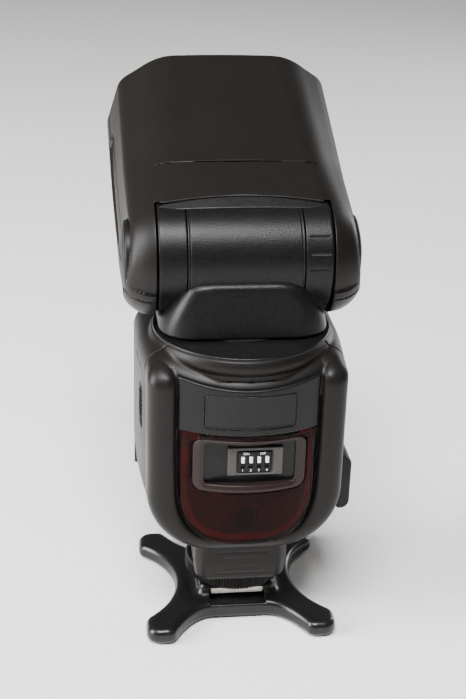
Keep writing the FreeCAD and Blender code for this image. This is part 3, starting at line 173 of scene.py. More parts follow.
def mesh_piece(name, points, quads, normals, place):
    """A smooth-shaded mesh object from arrays, placed by a matrix."""
    matrix = np.array(place)
    world = points @ matrix[:3, :3].T + matrix[:3, 3]
    mesh = bpy.data.meshes.new(name)
    mesh.vertices.add(len(world))
    mesh.vertices.foreach_set("co", world.astype(np.float32).ravel())
    mesh.loops.add(quads.size)
    mesh.loops.foreach_set("vertex_index", quads.astype(np.int32).ravel())
    mesh.polygons.add(len(quads))
    mesh.polygons.foreach_set("loop_start", np.arange(0, quads.size, 4, dtype=np.int32))
    mesh.polygons.foreach_set("use_smooth", np.ones(len(quads), bool))
    mesh.update(calc_edges=True)
    mesh.validate()
    turned = normals @ matrix[:3, :3].T
    turned /= np.maximum(np.linalg.norm(turned, axis=1, keepdims=True), 1e-9)
    mesh.normals_split_custom_set_from_vertices(turned)
    return new_piece(name, mesh)


def new_piece(name, mesh):
    piece = bpy.data.objects.new(name, mesh)
    bpy.context.scene.collection.objects.link(piece)
    return piece


def text_mesh(text, size, depth):
    """A centred text's mesh, flat on x and y."""
    curve = bpy.data.curves.new("text", "FONT")
    curve.body = text
    curve.size = size
    curve.extrude = depth
    curve.align_x = "CENTER"
    curve.align_y = "CENTER"
    flat = bpy.data.objects.new("text", curve)
    mesh = bpy.data.meshes.new_from_object(flat)
    bpy.data.objects.remove(flat)
    return mesh


# ---- materials ---------------------------------------------------------------------------------


class Finish:
    """A material's node tree, with the few node patterns that the finishes share."""

    def __init__(self, name):
        self.material = bpy.data.materials.new(name)
        self.material.use_nodes = True
        self.tree = self.material.node_tree
        self.shader = self.tree.nodes["Principled BSDF"]
        self.place = self.add("ShaderNodeTexCoord").outputs["Object"]

    def add(self, kind, **inputs):
        """A node with some inputs set. An underscore stands for a space in an input's name."""
        node = self.tree.nodes.new(kind)
        for key, value in inputs.items():
            node.inputs[key.replace("_", " ")].default_value = value
        return node

    def link(self, source, target):
        self.tree.links.new(source, target)

    def noise(self, size, detail=2.0, roughness=0.5):
        """Noise with features of about a size in millimetres."""
        scale = 1 / (size * MM)
        node = self.add("ShaderNodeTexNoise", Scale=scale, Detail=detail, Roughness=roughness)
        self.link(self.place, node.inputs["Vector"])
        return node.outputs["Fac"]

    def spread(self, source, low, high):
        """Maps a noise's middle range onto low to high."""
        node = self.add("ShaderNodeMapRange", From_Min=0.35, From_Max=0.65, To_Min=low, To_Max=high)
        self.link(source, node.inputs["Value"])
        return node.outputs["Result"]

    def tint(self, source, first, second):
        """Colours the surface from first to second as the source goes from 0 to 1."""
        node = self.add("ShaderNodeMix")
        node.data_type = "RGBA"
        colour_a, colour_b = [i for i in node.inputs if i.type == "RGBA"]
        colour_a.default_value = (*first, 1)
        colour_b.default_value = (*second, 1)
        self.link(source, node.inputs["Factor"])
        result = next(o for o in node.outputs if o.type == "RGBA")
        self.link(result, self.shader.inputs["Base Color"])

    def bump(self, source, depth):
        """Roughens the surface by a depth in millimetres."""
        node = self.add("ShaderNodeBump", Strength=1.0, Distance=depth * MM)
        self.link(source, node.inputs["Height"])
        self.link(node.outputs["Normal"], self.shader.inputs["Normal"])

    def set(self, **values):
        for key, value in values.items():
            self.shader.inputs[key.replace("_", " ")].default_value = value


def moulded(name, colour, rough, grain, depth, mottle=0.25, gloss=0.2):
    """Moulded plastic: a fine spark-eroded grain, slight patches and an uneven gloss."""
    finish = Finish(name)
    darker = [channel * (1 - mottle) for channel in colour]
    lighter = [channel * (1 + mottle) for channel in colour]
    finish.tint(finish.spread(finish.noise(grain * 1.6, 3), 0, 1), darker, lighter)
    patches = finish.spread(finish.noise(14), rough - 0.02, rough + 0.02)
    finish.link(patches, finish.shader.inputs["Roughness"])
    finish.bump(finish.noise(grain), depth)
    finish.set(Specular_IOR_Level=gloss)
    return finish.material


def metal(name, colour, rough):
    """Plated metal with fine scratches and a slightly uneven sheen."""
    finish = Finish(name)
    scratch = 0.25
    darker = [channel * 0.8 for channel in colour]
    finish.tint(finish.spread(finish.noise(2.5, 4), 0, 1), darker, colour)
    sheen = finish.spread(finish.noise(scratch, 3), rough - 0.1, rough + 0.1)
    finish.link(sheen, finish.shader.inputs["Roughness"])
    finish.bump(finish.noise(scratch), 0.01)
    finish.set(Metallic=1.0)
    return finish.material


def clear(name, colour, rough, index=1.45):
    """Clear or tinted acrylic with faint flow lines."""
    finish = Finish(name)
    darker = [channel * 0.88 for channel in colour]
    finish.tint(finish.spread(finish.noise(5), 0, 1), darker, colour)
    finish.link(finish.spread(finish.noise(3), rough, rough + 0.05), finish.shader.inputs["Roughness"])
    finish.bump(finish.noise(2.5, 1), 0.002)
    finish.set(Transmission_Weight=1.0, IOR=index)
    return finish.material


def make_finishes():
    """Every finish by name. Plastics have a colour, a roughness, a grain and its depth in
    millimetres, and then a mottle and a gloss. Metals and clear plastics have the first two,
    and the red window has a low index too."""
    plastics = {
        "moulded_black": ((0.0062, 0.0053, 0.0047), 0.4, 0.22, 0.012, 0.25, 0.18),
        "textured_black": ((0.0042, 0.0042, 0.0043), 0.34, 0.36, 0.065, 0.45, 0.2),
        "gloss_black": ((0.0055, 0.0055, 0.0055), 0.28, 0.3, 0.006, 0.2, 0.35),
        "inner_black": ((0.008, 0.008, 0.008), 0.55, 0.3, 0.015),
        "sensor_black": ((0.003, 0.002, 0.002), 0.6, 0.3, 0.01, 0.2, 0.02),
        "rubber_black": ((0.009, 0.0088, 0.0086), 0.55, 0.35, 0.03),
        "badge_black": ((0.006, 0.0065, 0.007), 0.4, 0.35, 0.03, 0.3),
        "tray_black": ((0.004, 0.0038, 0.0045), 0.28, 0.3, 0.006),
        "lever_white": ((0.86, 0.86, 0.84), 0.4, 0.3, 0.01, 0.04, 0.5),
        "button_grey": ((0.05, 0.05, 0.053), 0.42, 0.25, 0.02),
        "cell_jacket": ((0.05, 0.08, 0.12), 0.3, 0.6, 0.008),
        "board_green": ((0.02, 0.12, 0.05), 0.35, 0.8, 0.02),
        "capacitor_sleeve": ((0.02, 0.025, 0.05), 0.3, 0.6, 0.008),
        "winding": ((0.5, 0.32, 0.08), 0.5, 0.5, 0.05),
        "card_white": ((0.85, 0.85, 0.83), 0.55, 0.4, 0.01, 0.04),
        "lcd": ((0.2, 0.23, 0.18), 0.25, 3.0, 0.0005, 0.02),
        "red_backing": ((0.045, 0.002, 0.002), 0.45, 0.5, 0.01, 0.15, 0.05),
        # The brighter red of the window's rim is a painted highlight on its edge.
        "red_edge": ((0.22, 0.02, 0.02), 0.3, 0.5, 0.01, 0.1),
        "rim_smoke": ((0.016, 0.01, 0.0095), 0.22, 0.5, 0.004, 0.1, 0.18),
        "frame_grey": ((0.05, 0.047, 0.045), 0.4, 0.25, 0.02),
    }
    metals = {
        "shoe_metal": ((0.9, 0.86, 0.78), 0.5),
        "steel": ((0.5, 0.5, 0.5), 0.35),
        "dark_steel": ((0.03, 0.03, 0.032), 0.45),
        "brass": ((0.66, 0.48, 0.22), 0.35),
        "reflector_silver": ((0.85, 0.85, 0.86), 0.15),
    }
    clears = {
        "clear_lens": ((0.93, 0.95, 0.96), 0.08),
        "display_pane": ((0.5, 0.55, 0.55), 0.04),
        "tube_glass": ((0.95, 0.95, 0.95), 0.05),
        "red_window": ((0.36, 0.012, 0.012), 0.05, 1.17),
    }
    kinds = ((moulded, plastics), (metal, metals), (clear, clears))
    return {name: make(name, *look) for make, looks in kinds for name, look in looks.items()}


finishes = make_finishes()
DARK_NODES = {"body_screws": "dark_steel"}


def fit(piece, body, slot, *nodes, finish=None):
    """Gives a piece its finish and its body, and hides the CAD nodes that it stands for."""
    piece.data.materials.append(finishes[finish or slot])
    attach(piece, body)
    if nodes:
        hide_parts(*nodes)


def finish_cad_nodes():
    """The CAD nodes whose shape is right keep it and take a procedural finish."""
    slots = {part["node"]: part["material_slot"] for part in frame["record"]["subparts"]}
    for name, node in frame["nodes"].items():
        node.data.materials.clear()
        node.data.materials.append(finishes[DARK_NODES.get(name, slots[name])])


# ---- head --------------------------------------------------------------------------------------

LENGTH = 76
TOP_NEAR = 19.3
SIDE_NEAR = 35.6
SHOULDER_NEAR = 11.5
FLAT_NEAR = 28.7
HEAD_WALL = 2.4
CHAMBER_START = 24
RECESS_LENGTH = 58
BARREL_RADIUS = 18.0
EAR_INSIDE = 27.6
NECK_ROOM = 19.8
BAND_SEAT = 18.0
SEAM = -1.5
COVER_LINE = 21.0
COVER_LINE_END = 26
BEZEL_START = 71
LENS_FACE = 72.6
OPENING_TALL = 13.7
CAP_RADIUS = 12.25
BUTTON_RADIUS = 11.0
TRIM_INSIDE = 33.8


def head_section(x, u, n):
    """The head's walls: a soft eight-sided section, turned round the hinge behind it."""
    along = np.clip(u / LENGTH, 0, 1)
    below = n < 0
    crown = 0.9 * (x / FLAT_NEAR) ** 2
    top = TOP_NEAR + np.where(below, 2.2 * along, 4.1 * along - crown)
    cheek = smooth_step(1 - u / 28)
    flat = FLAT_NEAR - np.where(below, 0.7 * along, 3.4 * along) + 1.7 * cheek
    shoulder = SHOULDER_NEAR + np.where(below, -1.5 * along, 1.6 * along) + 2.0 * cheek
    side = SIDE_NEAR + 0.4 * along + 0.3 * cheek
    reach = np.hypot(np.minimum(u, 0), n)
    lean = 0.125 + 0.12 * (1 - np.exp(-np.maximum(u, 0) / 25))
    out = np.abs(x) - lean * (SHOULDER_NEAR - np.maximum(n, -4)) - side
    rise = top - shoulder
    run = side - flat
    bevel = (out * rise + (reach - shoulder) * run) / np.hypot(rise, run)
    return smooth_max(smooth_max(reach - top, bevel, 3.6), out, 2.2)


def side_recess(x, u, n):
    """How far the long drop-shaped recess is let into each side, towards the hinge's button."""
    share = np.clip(u / RECESS_LENGTH, 0, 1)
    drop = np.hypot(u - share * RECESS_LENGTH, n + share) - (12.6 - 9.6 * share)
    return 0.9 * smooth_step(0.5 - drop / 0.8)


def band_outline(x, u, grow):
    """The arched strip along the rear edge of the head's top, above the barrel."""
    arch = u - 4.9 + 2.6 * (x / EAR_INSIDE) ** 2
    strip = smooth_max(np.abs(x) - EAR_INSIDE + 0.5, arch, 1.5)
    return np.maximum(strip, 0.45 - u) - grow


def hinge_gap(x, u, n):
    """The room for the barrel and the neck between the two ears, and the rear band's seat."""
    gap = np.minimum(np.hypot(u, n) - BARREL_RADIUS - 0.5, u - 0.4)
    gap = np.minimum(gap, np.maximum(n, u - NECK_ROOM))
    gap = np.maximum(np.abs(x) - EAR_INSIDE, gap)
    return np.minimum(gap, np.maximum(band_outline(x, u, 0.1), BAND_SEAT - n))


def hinge_pockets(x, u, n):
    """The pocket of the release button on the left, and the one of the cap on the right."""
    radius = np.where(x < 0, BUTTON_RADIUS + 0.5, 12.6)
    floor = np.where(x < 0, 32.0, 33.5)
    return np.maximum(np.hypot(u, n) - radius, floor - np.abs(x))


def cover_line(x, u, n, walls):
    """The thin cut across the head's top."""
    slot = np.maximum(np.abs(u - COVER_LINE) - 0.2, -walls - 0.9)
    return np.maximum(np.maximum(slot, np.abs(x) - COVER_LINE_END), -n)


def head_shell(x, u, n):
    """The hollow casing of the head, before it is split at the seam."""
    walls = head_section(x, u, n) + side_recess(x, u, n)
    blank = smooth_max(walls, u - LENGTH, 1.0)
    chamber = np.maximum(walls + HEAD_WALL, CHAMBER_START - u)
    shell = smooth_max(np.maximum(blank, -chamber), -hinge_gap(x, u, n), 0.3)
    shell = smooth_max(shell, -hinge_pockets(x, u, n), 0.6)
    return np.maximum(shell, -cover_line(x, u, n, walls))


def head_seam(u, n):
    """The line between the upper and the lower shell drops towards the hinge on each ear."""
    return n - SEAM + 1.5 * smooth_step((6 - u) / 20)


def seam_gap(x, u, n):
    """Half the seam's width: open at the skin, closed inside the wall."""
    return 0.12 - 0.13 * smooth_step((-head_section(x, u, n) - 0.6) / 0.5)


def head_half(side):
    """The field of one shell: side is 1 above the seam and -1 below it."""

    def field(x, u, n):
        return smooth_max(head_shell(x, u, n), seam_gap(x, u, n) - side * head_seam(u, n), 0.35)

    return field


def make_head():
    x = lines(-40, 40, fine=(-EAR_INSIDE, EAR_INSIDE))
    u = lines(-20, LENGTH, fine=(0.6, 1.8, 3.0, 4.2, COVER_LINE))
    above = lines(SEAM - 1, 24, fine=(SEAM,))
    below = lines(-22.5, SEAM + 1, fine=(SEAM,))
    shell = surface("head_top_shell", head_half(1), x, u, above, HEAD)
    fit(shell, "head", "moulded_black", "head_upper_shell")
    shell = surface("head_under_shell", head_half(-1), x, u, below, HEAD)
    fit(shell, "head", "moulded_black", "head_lower_shell")


def make_rear_band():
    """The textured strip at the rear edge of the head's top."""

    def band(x, u, n):
        face = n - 18.3 - 0.24 * u + 0.9 * (x / FLAT_NEAR) ** 2
        return smooth_max(band_outline(x, u, 0), smooth_max(face, 17.4 - n, 0.2), 0.4)

    grid = (lines(-28, 28), lines(0, 5, 0.3), lines(16.5, 20.2, 0.3))
    strip = surface("head_rear_band", band, *grid, HEAD)
    fit(strip, "head", "moulded_black", finish="textured_black")


def opening_half():
    """Half the width of the window's opening."""
    return low_high("fresnel_lens", 0)[1] - 1.5


def make_bezel():
    """The glossy bezel, with the slot of the card and the wide panel above its opening."""
    half = opening_half()

    def bezel(x, u, n):
        walls = head_section(x, u, n) + 2.55
        opening = rounded((np.abs(x) - half, np.abs(n + 0.5) - OPENING_TALL), 2.5)
        opening = opening + 0.5 * (u - LENGTH)
        slot = rounded((np.abs(x) - 26, between(n, 15.8, 18.6)), 0.8)
        body = smooth_max(walls, between(u, BEZEL_START, LENGTH - 0.3), 0.8)
        return smooth_max(smooth_max(body, -opening, 0.8), -slot, 0.5)

    grid = (lines(-38, 38, 0.5), lines(70, 77, 0.5), lines(-22, 23, 0.5))
    fit(surface("window_frame", bezel, *grid, HEAD), "head", "gloss_black", "window_bezel")


def make_lens():
    """The lens, with fine ribs across it and wider bars down it."""
    half = opening_half()
    rib_pitch = 1.2
    bar_pitch = 2.6

    def lens(x, u, n):
        ribs = 0.35 * np.abs(((n + 40) / rib_pitch) % 1 - 0.5)
        bars = 0.3 * np.abs(((x + 90) / bar_pitch) % 1 - 0.5)
        face = u - LENS_FACE + ribs + bars
        walls = rounded((np.abs(x) - half - 1, np.abs(n + 0.5) - OPENING_TALL - 1), 2)
        return np.maximum(walls, np.maximum(face, LENS_FACE - 2.2 - u))

    grid = (lines(-32, 32, 0.45), lines(70, 73, 0.4), lines(-16, 15, 0.3))
    fit(surface("ribbed_lens", lens, *grid, HEAD), "head", "clear_lens", "fresnel_lens")


def dome(x, u, n, radius, outer):
    """A domed disc on the head's right, with a fine ring groove near its edge."""
    reach = np.hypot(u, n)
    face = x - outer + 0.014 * reach * reach
    ring = 0.12 * np.exp(-(((reach - radius + 1.6) / 0.3) ** 2))
    return smooth_max(smooth_max(face + ring, reach - radius, 1.0), TRIM_INSIDE - x, 0.5)


def make_hinge_trim():
    """The domed cap on the right of the hinge and the round release button on its left."""
    cap_face = low_high("hinge_cap", 0)[1] - 0.1
    button_face = -low_high("tilt_button", 0)[0] - 0.1
    across = lines(-13, 13, 0.45)

    def cap(x, u, n):
        return dome(x, u, n, CAP_RADIUS, cap_face)

    def button(x, u, n):
        grip = 0.25 * np.exp(-(((np.abs(n) - 3.5) / 0.5) ** 2))
        grip = grip * smooth_step((8.5 - np.hypot(u, n)) / 2)
        return dome(-x, u, n, BUTTON_RADIUS, button_face) + grip

    piece = surface("hinge_dome", cap, lines(33, 40, 0.35), across, across, HEAD)
    fit(piece, "head", "moulded_black", "hinge_cap")
    piece = surface("release_button", button, lines(-40, -33, 0.35), across, across, HEAD)
    fit(piece, "release", "moulded_black", "tilt_button")


# ---- tilt barrel and neck ----------------------------------------------------------------------

BARREL_JOINT = 18.2
BARREL_END = 27.2
INDEX_LINES = (35.5, 18.0, 3.0)
DIAL_NUMBERS = {"60": 29, "90": 15}
DIAL_PLACE = 15.2


def barrel(x, y, z):
    """The whole barrel, with a fine double groove at each end of its middle cover."""
    reach = np.hypot(y - HINGE.y, z - HINGE.z)
    grooves = 0.35 * np.exp(-(((np.abs(x) - BARREL_JOINT) / 0.16) ** 2))
    grooves += 0.2 * np.exp(-(((np.abs(x) - BARREL_JOINT + 0.9) / 0.2) ** 2))
    return smooth_max(reach - BARREL_RADIUS + grooves, np.abs(x) - BARREL_END, 1.0)


def scale_marks(x, y, z):
    """Three sunk index lines on the right end of the barrel."""
    angle = np.degrees(np.arctan2(z - HINGE.z, HINGE.y - y))
    marks = 0.0
    for place in INDEX_LINES:
        line = np.exp(-(((angle - place) / 0.75) ** 2)) * smooth_step((26.2 - x) / 0.5)
        marks = marks + 0.22 * line * smooth_step((x - 19.4) / 0.5)
    return marks


def make_barrel():
    room = BARREL_RADIUS + 0.5
    joint = BARREL_JOINT + 0.06

    def across_barrel(step):
        return [lines(middle - room, middle + room, step) for middle in (HINGE.y, HINGE.z)]

    def middle(x, y, z):
        return smooth_max(barrel(x, y, z), np.abs(x) - BARREL_JOINT + 0.06, 0.3)

    def right(x, y, z):
        return smooth_max(barrel(x, y, z) + scale_marks(x, y, z), joint - x, 0.3)

    def left(x, y, z):
        return smooth_max(barrel(x, y, z), x + joint, 0.3)

    grooves = (-BARREL_JOINT, 1 - BARREL_JOINT, BARREL_JOINT - 1, BARREL_JOINT)
    piece = surface("barrel_middle", middle, lines(-19, 19, fine=grooves), *across_barrel(STEP))
    fit(piece, "swivel", "textured_black", "barrel_cover")
    x = lines(17.5, 28, 0.45, (BARREL_JOINT,))
    piece = surface("barrel_right", right, x, *across_barrel(0.35))
    fit(piece, "swivel", "textured_black", "barrel_end_right")
    x = lines(-28, -17.5, fine=(-BARREL_JOINT,))
    piece = surface("barrel_left", left, x, *across_barrel(STEP))
    fit(piece, "swivel", "textured_black", "barrel_end_left")


def make_dial_number(number, angle):
    """A small angle figure, raised from the barrel and bent round it."""
    mesh = text_mesh(number, 3.0, 0.07)
    for vertex in mesh.vertices:
        across, up, out = vertex.co
        turn = math.radians(angle) + up / BARREL_RADIUS
        reach = BARREL_RADIUS + out
        vertex.co = (
            (DIAL_PLACE + across) * MM,
            (HINGE.y - reach * math.cos(turn)) * MM,
            (HINGE.z + reach * math.sin(turn)) * MM,
        )
    piece = new_piece(f"dial_{number}", mesh)
    fit(piece, "swivel", "textured_black", finish="gloss_black")


def make_neck():
    """The yoke: a rounded column whose shoulders slope in and whose front leans back."""
    low = low_high("neck_yoke", 2)[0]
    half = low_high("neck_yoke", 0)[1]

    def neck(x, y, z):
        front = 15.0 - 3.4 * np.clip((z - low) / 17, 0, 1)
        plan = rounded((np.abs(x) - half, between(y, -front, 26.2)), 11.5)
        slope = (np.abs(x) - half + 0.84 * (z - 108.2)) / 1.3
        column = smooth_max(smooth_max(plan, slope, 6), z - 119.9, 2.5)
        return smooth_max(column, low + 0.15 - z, 0.6)

    grid = (lines(-28, 28), lines(-16, 27), lines(102, 121, 0.5))
    fit(surface("neck_column", neck, *grid), "swivel", "textured_black", "neck_yoke")


# ---- body --------------------------------------------------------------------------------------

BODY_HALF = 33.3
BODY_LOW = 32.0
BODY_TOP = 101.0
BODY_REAR = 27.0
PILLAR_FRONT = 26.2
PANEL_HALF = 22.2
PANEL_RADIUS = 43.3
PANEL_CROWN = 31.0
PANEL_CENTRE = PANEL_RADIUS - PANEL_CROWN
PANEL_BACK = -22.5
WINDOW_BEND = 62.0
WINDOW_HALF = 21.5
WINDOW_POWER = 3.3
WINDOW_FLARE = 0.033
SPLIT = -14.0
COLLAR_TOP = 101.6
PLATFORM_RADIUS = low_high("swivel_platform", 0)[1]
DOOR_LOW, DOOR_HIGH = low_high("battery_door", 2)
DOOR_FRONT = low_high("battery_door", 1)[0]
DOOR_REAR = 19.4
DOOR_INSIDE = -30.4
DOOR_HINGE_X = -32.2
DOOR_HINGE_Y = 19.1
LATCH_FLOOR = -31.35
SCREW_X = 26.6
SCREW_LOW = 60
SCREW_HIGH = 88


def panel_depth(x, y):
    """Distance out of the crowned front panel's skin."""
    return np.hypot(x, y - PANEL_CENTRE) - PANEL_RADIUS


def window_outline(x, z):
    """The red window's U: straight on top, nearly straight sides, and a full round bottom."""
    across = np.abs(x)
    depth = WINDOW_BEND - low_high("sensor_window", 2)[0]
    drop = np.maximum(WINDOW_BEND - z, 0) / depth
    arch = ((across / WINDOW_HALF) ** WINDOW_POWER + drop**WINDOW_POWER) ** (1 / WINDOW_POWER)
    sides = across - WINDOW_HALF - WINDOW_FLARE * (z - WINDOW_BEND)
    return np.where(z < WINDOW_BEND, (arch - 1) * WINDOW_HALF, sides)


def panel_outline(x, z):
    """The raised panel's outline: a U that follows the window, open at the top."""
    half = np.minimum(WINDOW_HALF + WINDOW_FLARE * (z - WINDOW_BEND), 21.7)
    return np.where(z < WINDOW_BEND, window_outline(x, z), np.abs(x) - half) - 0.55


def panel_top(x):
    """The panel's upper edge, which dips in the middle."""
    return 93.0 + 2.4 * (x / 20.7) ** 2


def body_front(x, y, z):
    """The front: pillars at the corners, with a hollow between them for the panel and its lip."""
    pillar = smooth_max(-PILLAR_FRONT - y, 0.35 - panel_outline(x, z), 2.6)
    lip = np.maximum(panel_depth(x, y) + 0.7, 88 - z)
    return np.minimum(smooth_min(pillar, lip, 1.5), -23.2 - y)


def collar(x, y, z):
    """The bulged ring on the roof that carries the turntable."""
    bulge = 0.9 * np.sin(np.pi * np.clip((COLLAR_TOP - z) / 5, 0, 1))
    ring = smooth_max(np.hypot(x, y) - PLATFORM_RADIUS - 0.1 - bulge, z - COLLAR_TOP, 0.5)
    return np.maximum(ring, 95.0 - z)


def body(x, y, z):
    """The casing: round lower corners, and a roof that slopes down to the front."""
    half = BODY_HALF - 1.9 * np.clip((6 - y) / 24, 0, 1) ** 1.3
    lower = rounded((np.abs(x) - half, BODY_LOW - z), 21.5)
    upper = rounded((np.abs(x) - half, z - BODY_TOP), 8.5)
    ends = smooth_max(np.where(z < 66, lower, upper), y - BODY_REAR, 6)
    roof = (z - BODY_TOP - 0.52 * (y + 16)) / 1.127
    shell = smooth_max(smooth_max(ends, body_front(x, y, z), 6), roof, 4.5)
    return smooth_min(shell, collar(x, y, z), 0.8)


def window_field(x, z, grow):
    """The red window's outline with its straight top."""
    top = low_high("sensor_window", 2)[1]
    return smooth_max(window_outline(x, z), z - top, 0.6) - grow


def badge_outline(x, z, grow):
    low, high = low_high("badge", 2)
    half = low_high("badge", 0)[1]
    middle = (low + high) / 2
    return rounded((np.abs(x) - half - grow, np.abs(z - middle) - (high - low) / 2 - grow), 1.2)


def door_region(y, z, grow):
    along = between(y, DOOR_FRONT - grow, DOOR_REAR + grow)
    return rounded((along, between(z, DOOR_LOW - grow, DOOR_HIGH + grow)), 1.0)


def door_knuckle(x, y, z, grow):
    """The round edge that the battery door turns on."""
    reach = np.hypot(x - DOOR_HINGE_X, y - DOOR_HINGE_Y)
    return np.maximum(reach - 1.1 - grow, between(z, DOOR_LOW - grow, DOOR_HIGH + grow))


def make_front_casing():
    def front(x, y, z):
        return smooth_max(body(x, y, z), y - SPLIT + 0.1, 0.4)

    x = lines(-34, 34, fine=(-PANEL_HALF, PANEL_HALF))
    casing = surface("front_casing", front, x, lines(-31.5, SPLIT, 0.5), lines(BODY_LOW, 102, 0.5))
    fit(casing, "flash_body", "moulded_black", "front_shell")


def make_front_panel():
    """The textured front panel, crowned and U shaped, with seats for the window and the badge."""

    def panel(x, y, z):
        skin = panel_depth(x, y)
        plate = smooth_max(skin, panel_outline(x, z), 1.0)
        plate = np.maximum(smooth_max(plate, z - panel_top(x), 0.9), y - PANEL_BACK)
        window = np.maximum(window_field(x, z, 0.15), -3.5 - skin)
        badge = np.maximum(badge_outline(x, z, 0.04), -0.6 - skin)
        return smooth_max(plate, -np.minimum(window, badge), 0.25)

    grid = (lines(-23, 23, 0.4), lines(-31.5, -22, 0.5), lines(36, 98, 0.4))
    piece = surface("front_panel", panel, *grid)
    fit(piece, "flash_body", "moulded_black", finish="textured_black")


def rear_openings(x, y, z):
    """The doorway with its hinge groove, and the recesses of the two case screws."""
    doorway = np.maximum(door_region(y, z, 0.15), x + 28)
    height = np.minimum(np.abs(z - SCREW_LOW), np.abs(z - SCREW_HIGH))
    screws = np.maximum(np.hypot(x - SCREW_X, height) - 2.3, 24.9 - y)
    return np.minimum(np.minimum(doorway, screws), door_knuckle(x, y, z, 0.4))


def make_rear_casing():
    def rear(x, y, z):
        casing = smooth_max(body(x, y, z), SPLIT + 0.1 - y, 0.4)
        port_sides = (between(x, 26, BODY_HALF), between(y, -7.8, 13.8), between(z, 37.2, 55.8))
        casing = smooth_min(casing, rounded(port_sides, 1.2), 1.2)
        display = np.maximum(rounded((np.abs(x) - 20.5, between(z, 67, 89)), 0.5), 24 - y)
        return smooth_max(smooth_max(casing, -rear_openings(x, y, z), 0.3), -display, 0.3)

    grid = (lines(-34, 34), lines(SPLIT, 28, fine=(SPLIT,)), lines(BODY_LOW, 102))
    fit(surface("rear_casing", rear, *grid), "flash_body", "moulded_black", "rear_shell")


def make_battery_lid():
    """The battery door, with a pocket for its latch and a round edge at its hinge."""

    def door(x, y, z):
        pocket_sides = (between(x, -40, LATCH_FLOOR), between(y, -9.1, -3.9), between(z, 69.5, 84.6))
        lid = smooth_max(body(x, y, z), door_region(y, z, 0), 0.35)
        lid = smooth_max(np.maximum(lid, x - DOOR_INSIDE), -rounded(pocket_sides, 1.2), 0.3)
        return smooth_min(lid, door_knuckle(x, y, z, 0), 0.3)

    grid = (lines(-34, -30, 0.4), lines(-11, 21, 0.5), lines(41, 92, 0.5))
    fit(surface("battery_lid", door, *grid), "door", "moulded_black", "battery_door")


def make_latch():
    """A thumb slide with round ribs, let into the battery door."""
    low, high = low_high("door_latch", 2)
    front, back = low_high("door_latch", 1)
    pitch = 1.6

    def latch(x, y, z):
        ribs = 0.5 * np.cos((z - low) / pitch * 2 * math.pi)
        ribbed = between(z, low + 1, high - 1) < 0
        faces = (between(x, -32.9, -31.3), between(y, front, back), between(z, low, high))
        return rounded(faces, 0.7) + 0.4 - ribs * ribbed

    grid = (lines(-34, -30, 0.3), lines(front, back, 0.35), lines(low, high, 0.25))
    fit(surface("latch_slide", latch, *grid), "latch", "moulded_black", "door_latch")


def make_port_cover():
    """The rubber flap: a thick pad with bevelled edges and a line inside its border."""
    inner, outer = low_high("port_cover", 0)
    front = low_high("port_cover", 1)[0]
    low, high = low_high("port_cover", 2)
    middle = (low + high) / 2
    back = 14

    def pad(x, y, z):
        along = between(y, front, back)
        upright = between(z, low, high)
        block = rounded((between(x, inner, outer), along, upright), 1.1)
        bevel = (x - outer + np.abs(z - middle) - (high - low) / 2 + 2) / 1.41
        border = 0.3 * np.exp(-(((rounded((along, upright), 3) + 2.5) / 0.4) ** 2))
        border = border * smooth_step((x - outer + 1.5) / 0.8)
        return smooth_max(block, bevel, 0.8) + border

    grid = (lines(inner, outer, 0.35), lines(front, 15, 0.4), lines(low, high, 0.4))
    fit(surface("port_flap_pad", pad, *grid), "port_flap", "rubber_black", "port_cover")


def make_platform():
    """The turntable under the neck, with a fine raised rim."""
    top = low_high("swivel_platform", 2)[1]

    def disc(x, y, z):
        reach = np.hypot(x, y)
        rim = 0.16 * np.exp(-(((reach - PLATFORM_RADIUS + 0.5) / 0.35) ** 2))
        plate = smooth_max(reach - PLATFORM_RADIUS, z - top + 0.16 - rim, 0.5)
        return np.maximum(plate, top - 4 - z)

    across = lines(-30, 30, 0.45)
    piece = surface("turntable", disc, across, across, lines(98, 103, 0.35))
    fit(piece, "flash_body", "textured_black", "swivel_platform")


# ---- window and switch -------------------------------------------------------------------------

RIB_PITCH = 0.8
TRAY_X = (-17.6, 18.3)
TRAY_Z = (57.4, 75.6)
SENSOR_X = -0.5
SENSOR_Z = 46.1
SWITCH_X = 2.0
SWITCH_FRONT = -28.2
LEVER_PITCH = 2.54
MARK_SIZE = 1.2
WINDOW_LOW, WINDOW_TOP = low_high("sensor_window", 2)


def tray_hole(x, z, grow):
    """The opening in the window for the switch's tray."""
    return rounded((between(x, *TRAY_X) - grow, between(z, *TRAY_Z) - grow), 3.2)


def sensor_hole(x, z, grow):
    """The square opening in the window's backing for the sensor."""
    return rounded((np.abs(x - SENSOR_X) - 3.2 - grow, np.abs(z - SENSOR_Z) - 4.1 - grow), 0.3)


def window_grid():
    return lines(-23, 23, 0.5), lines(WINDOW_LOW, WINDOW_TOP, 0.4, fine=(WINDOW_TOP,))


def make_pane():
    """The clear red pane, which follows the crown of the front panel."""

    def pane(x, y, z):
        skin = between(panel_depth(x, y), -1.7, -0.12)
        sheet = smooth_max(skin, window_field(x, z, 0), 0.35)
        return smooth_max(sheet, -tray_hole(x, z, 0.1), 0.25)

    x, z = window_grid()
    piece = surface("red_pane", pane, x, lines(-31.5, -21), z)
    fit(piece, "flash_body", "red_window", "sensor_window")


def make_backing():
    """The plate behind the pane, with fine horizontal ribs."""

    def backing(x, y, z):
        ribs = 0.13 * np.cos(2 * math.pi * z / RIB_PITCH) * smooth_step((68 - z) / 2)
        skin = between(panel_depth(x, y), -2.9, -2.0 + ribs)
        sheet = np.maximum(skin, window_field(x, z, -2.4))
        return np.maximum(sheet, -np.minimum(tray_hole(x, z, 0), sensor_hole(x, z, 0.05)))

    grid = (lines(-22, 22, 1.2), lines(-31.5, -20, 0.4), lines(WINDOW_LOW, WINDOW_TOP, 0.1))
    fit(surface("window_ribs", backing, *grid), "flash_body", "red_window", finish="red_backing")


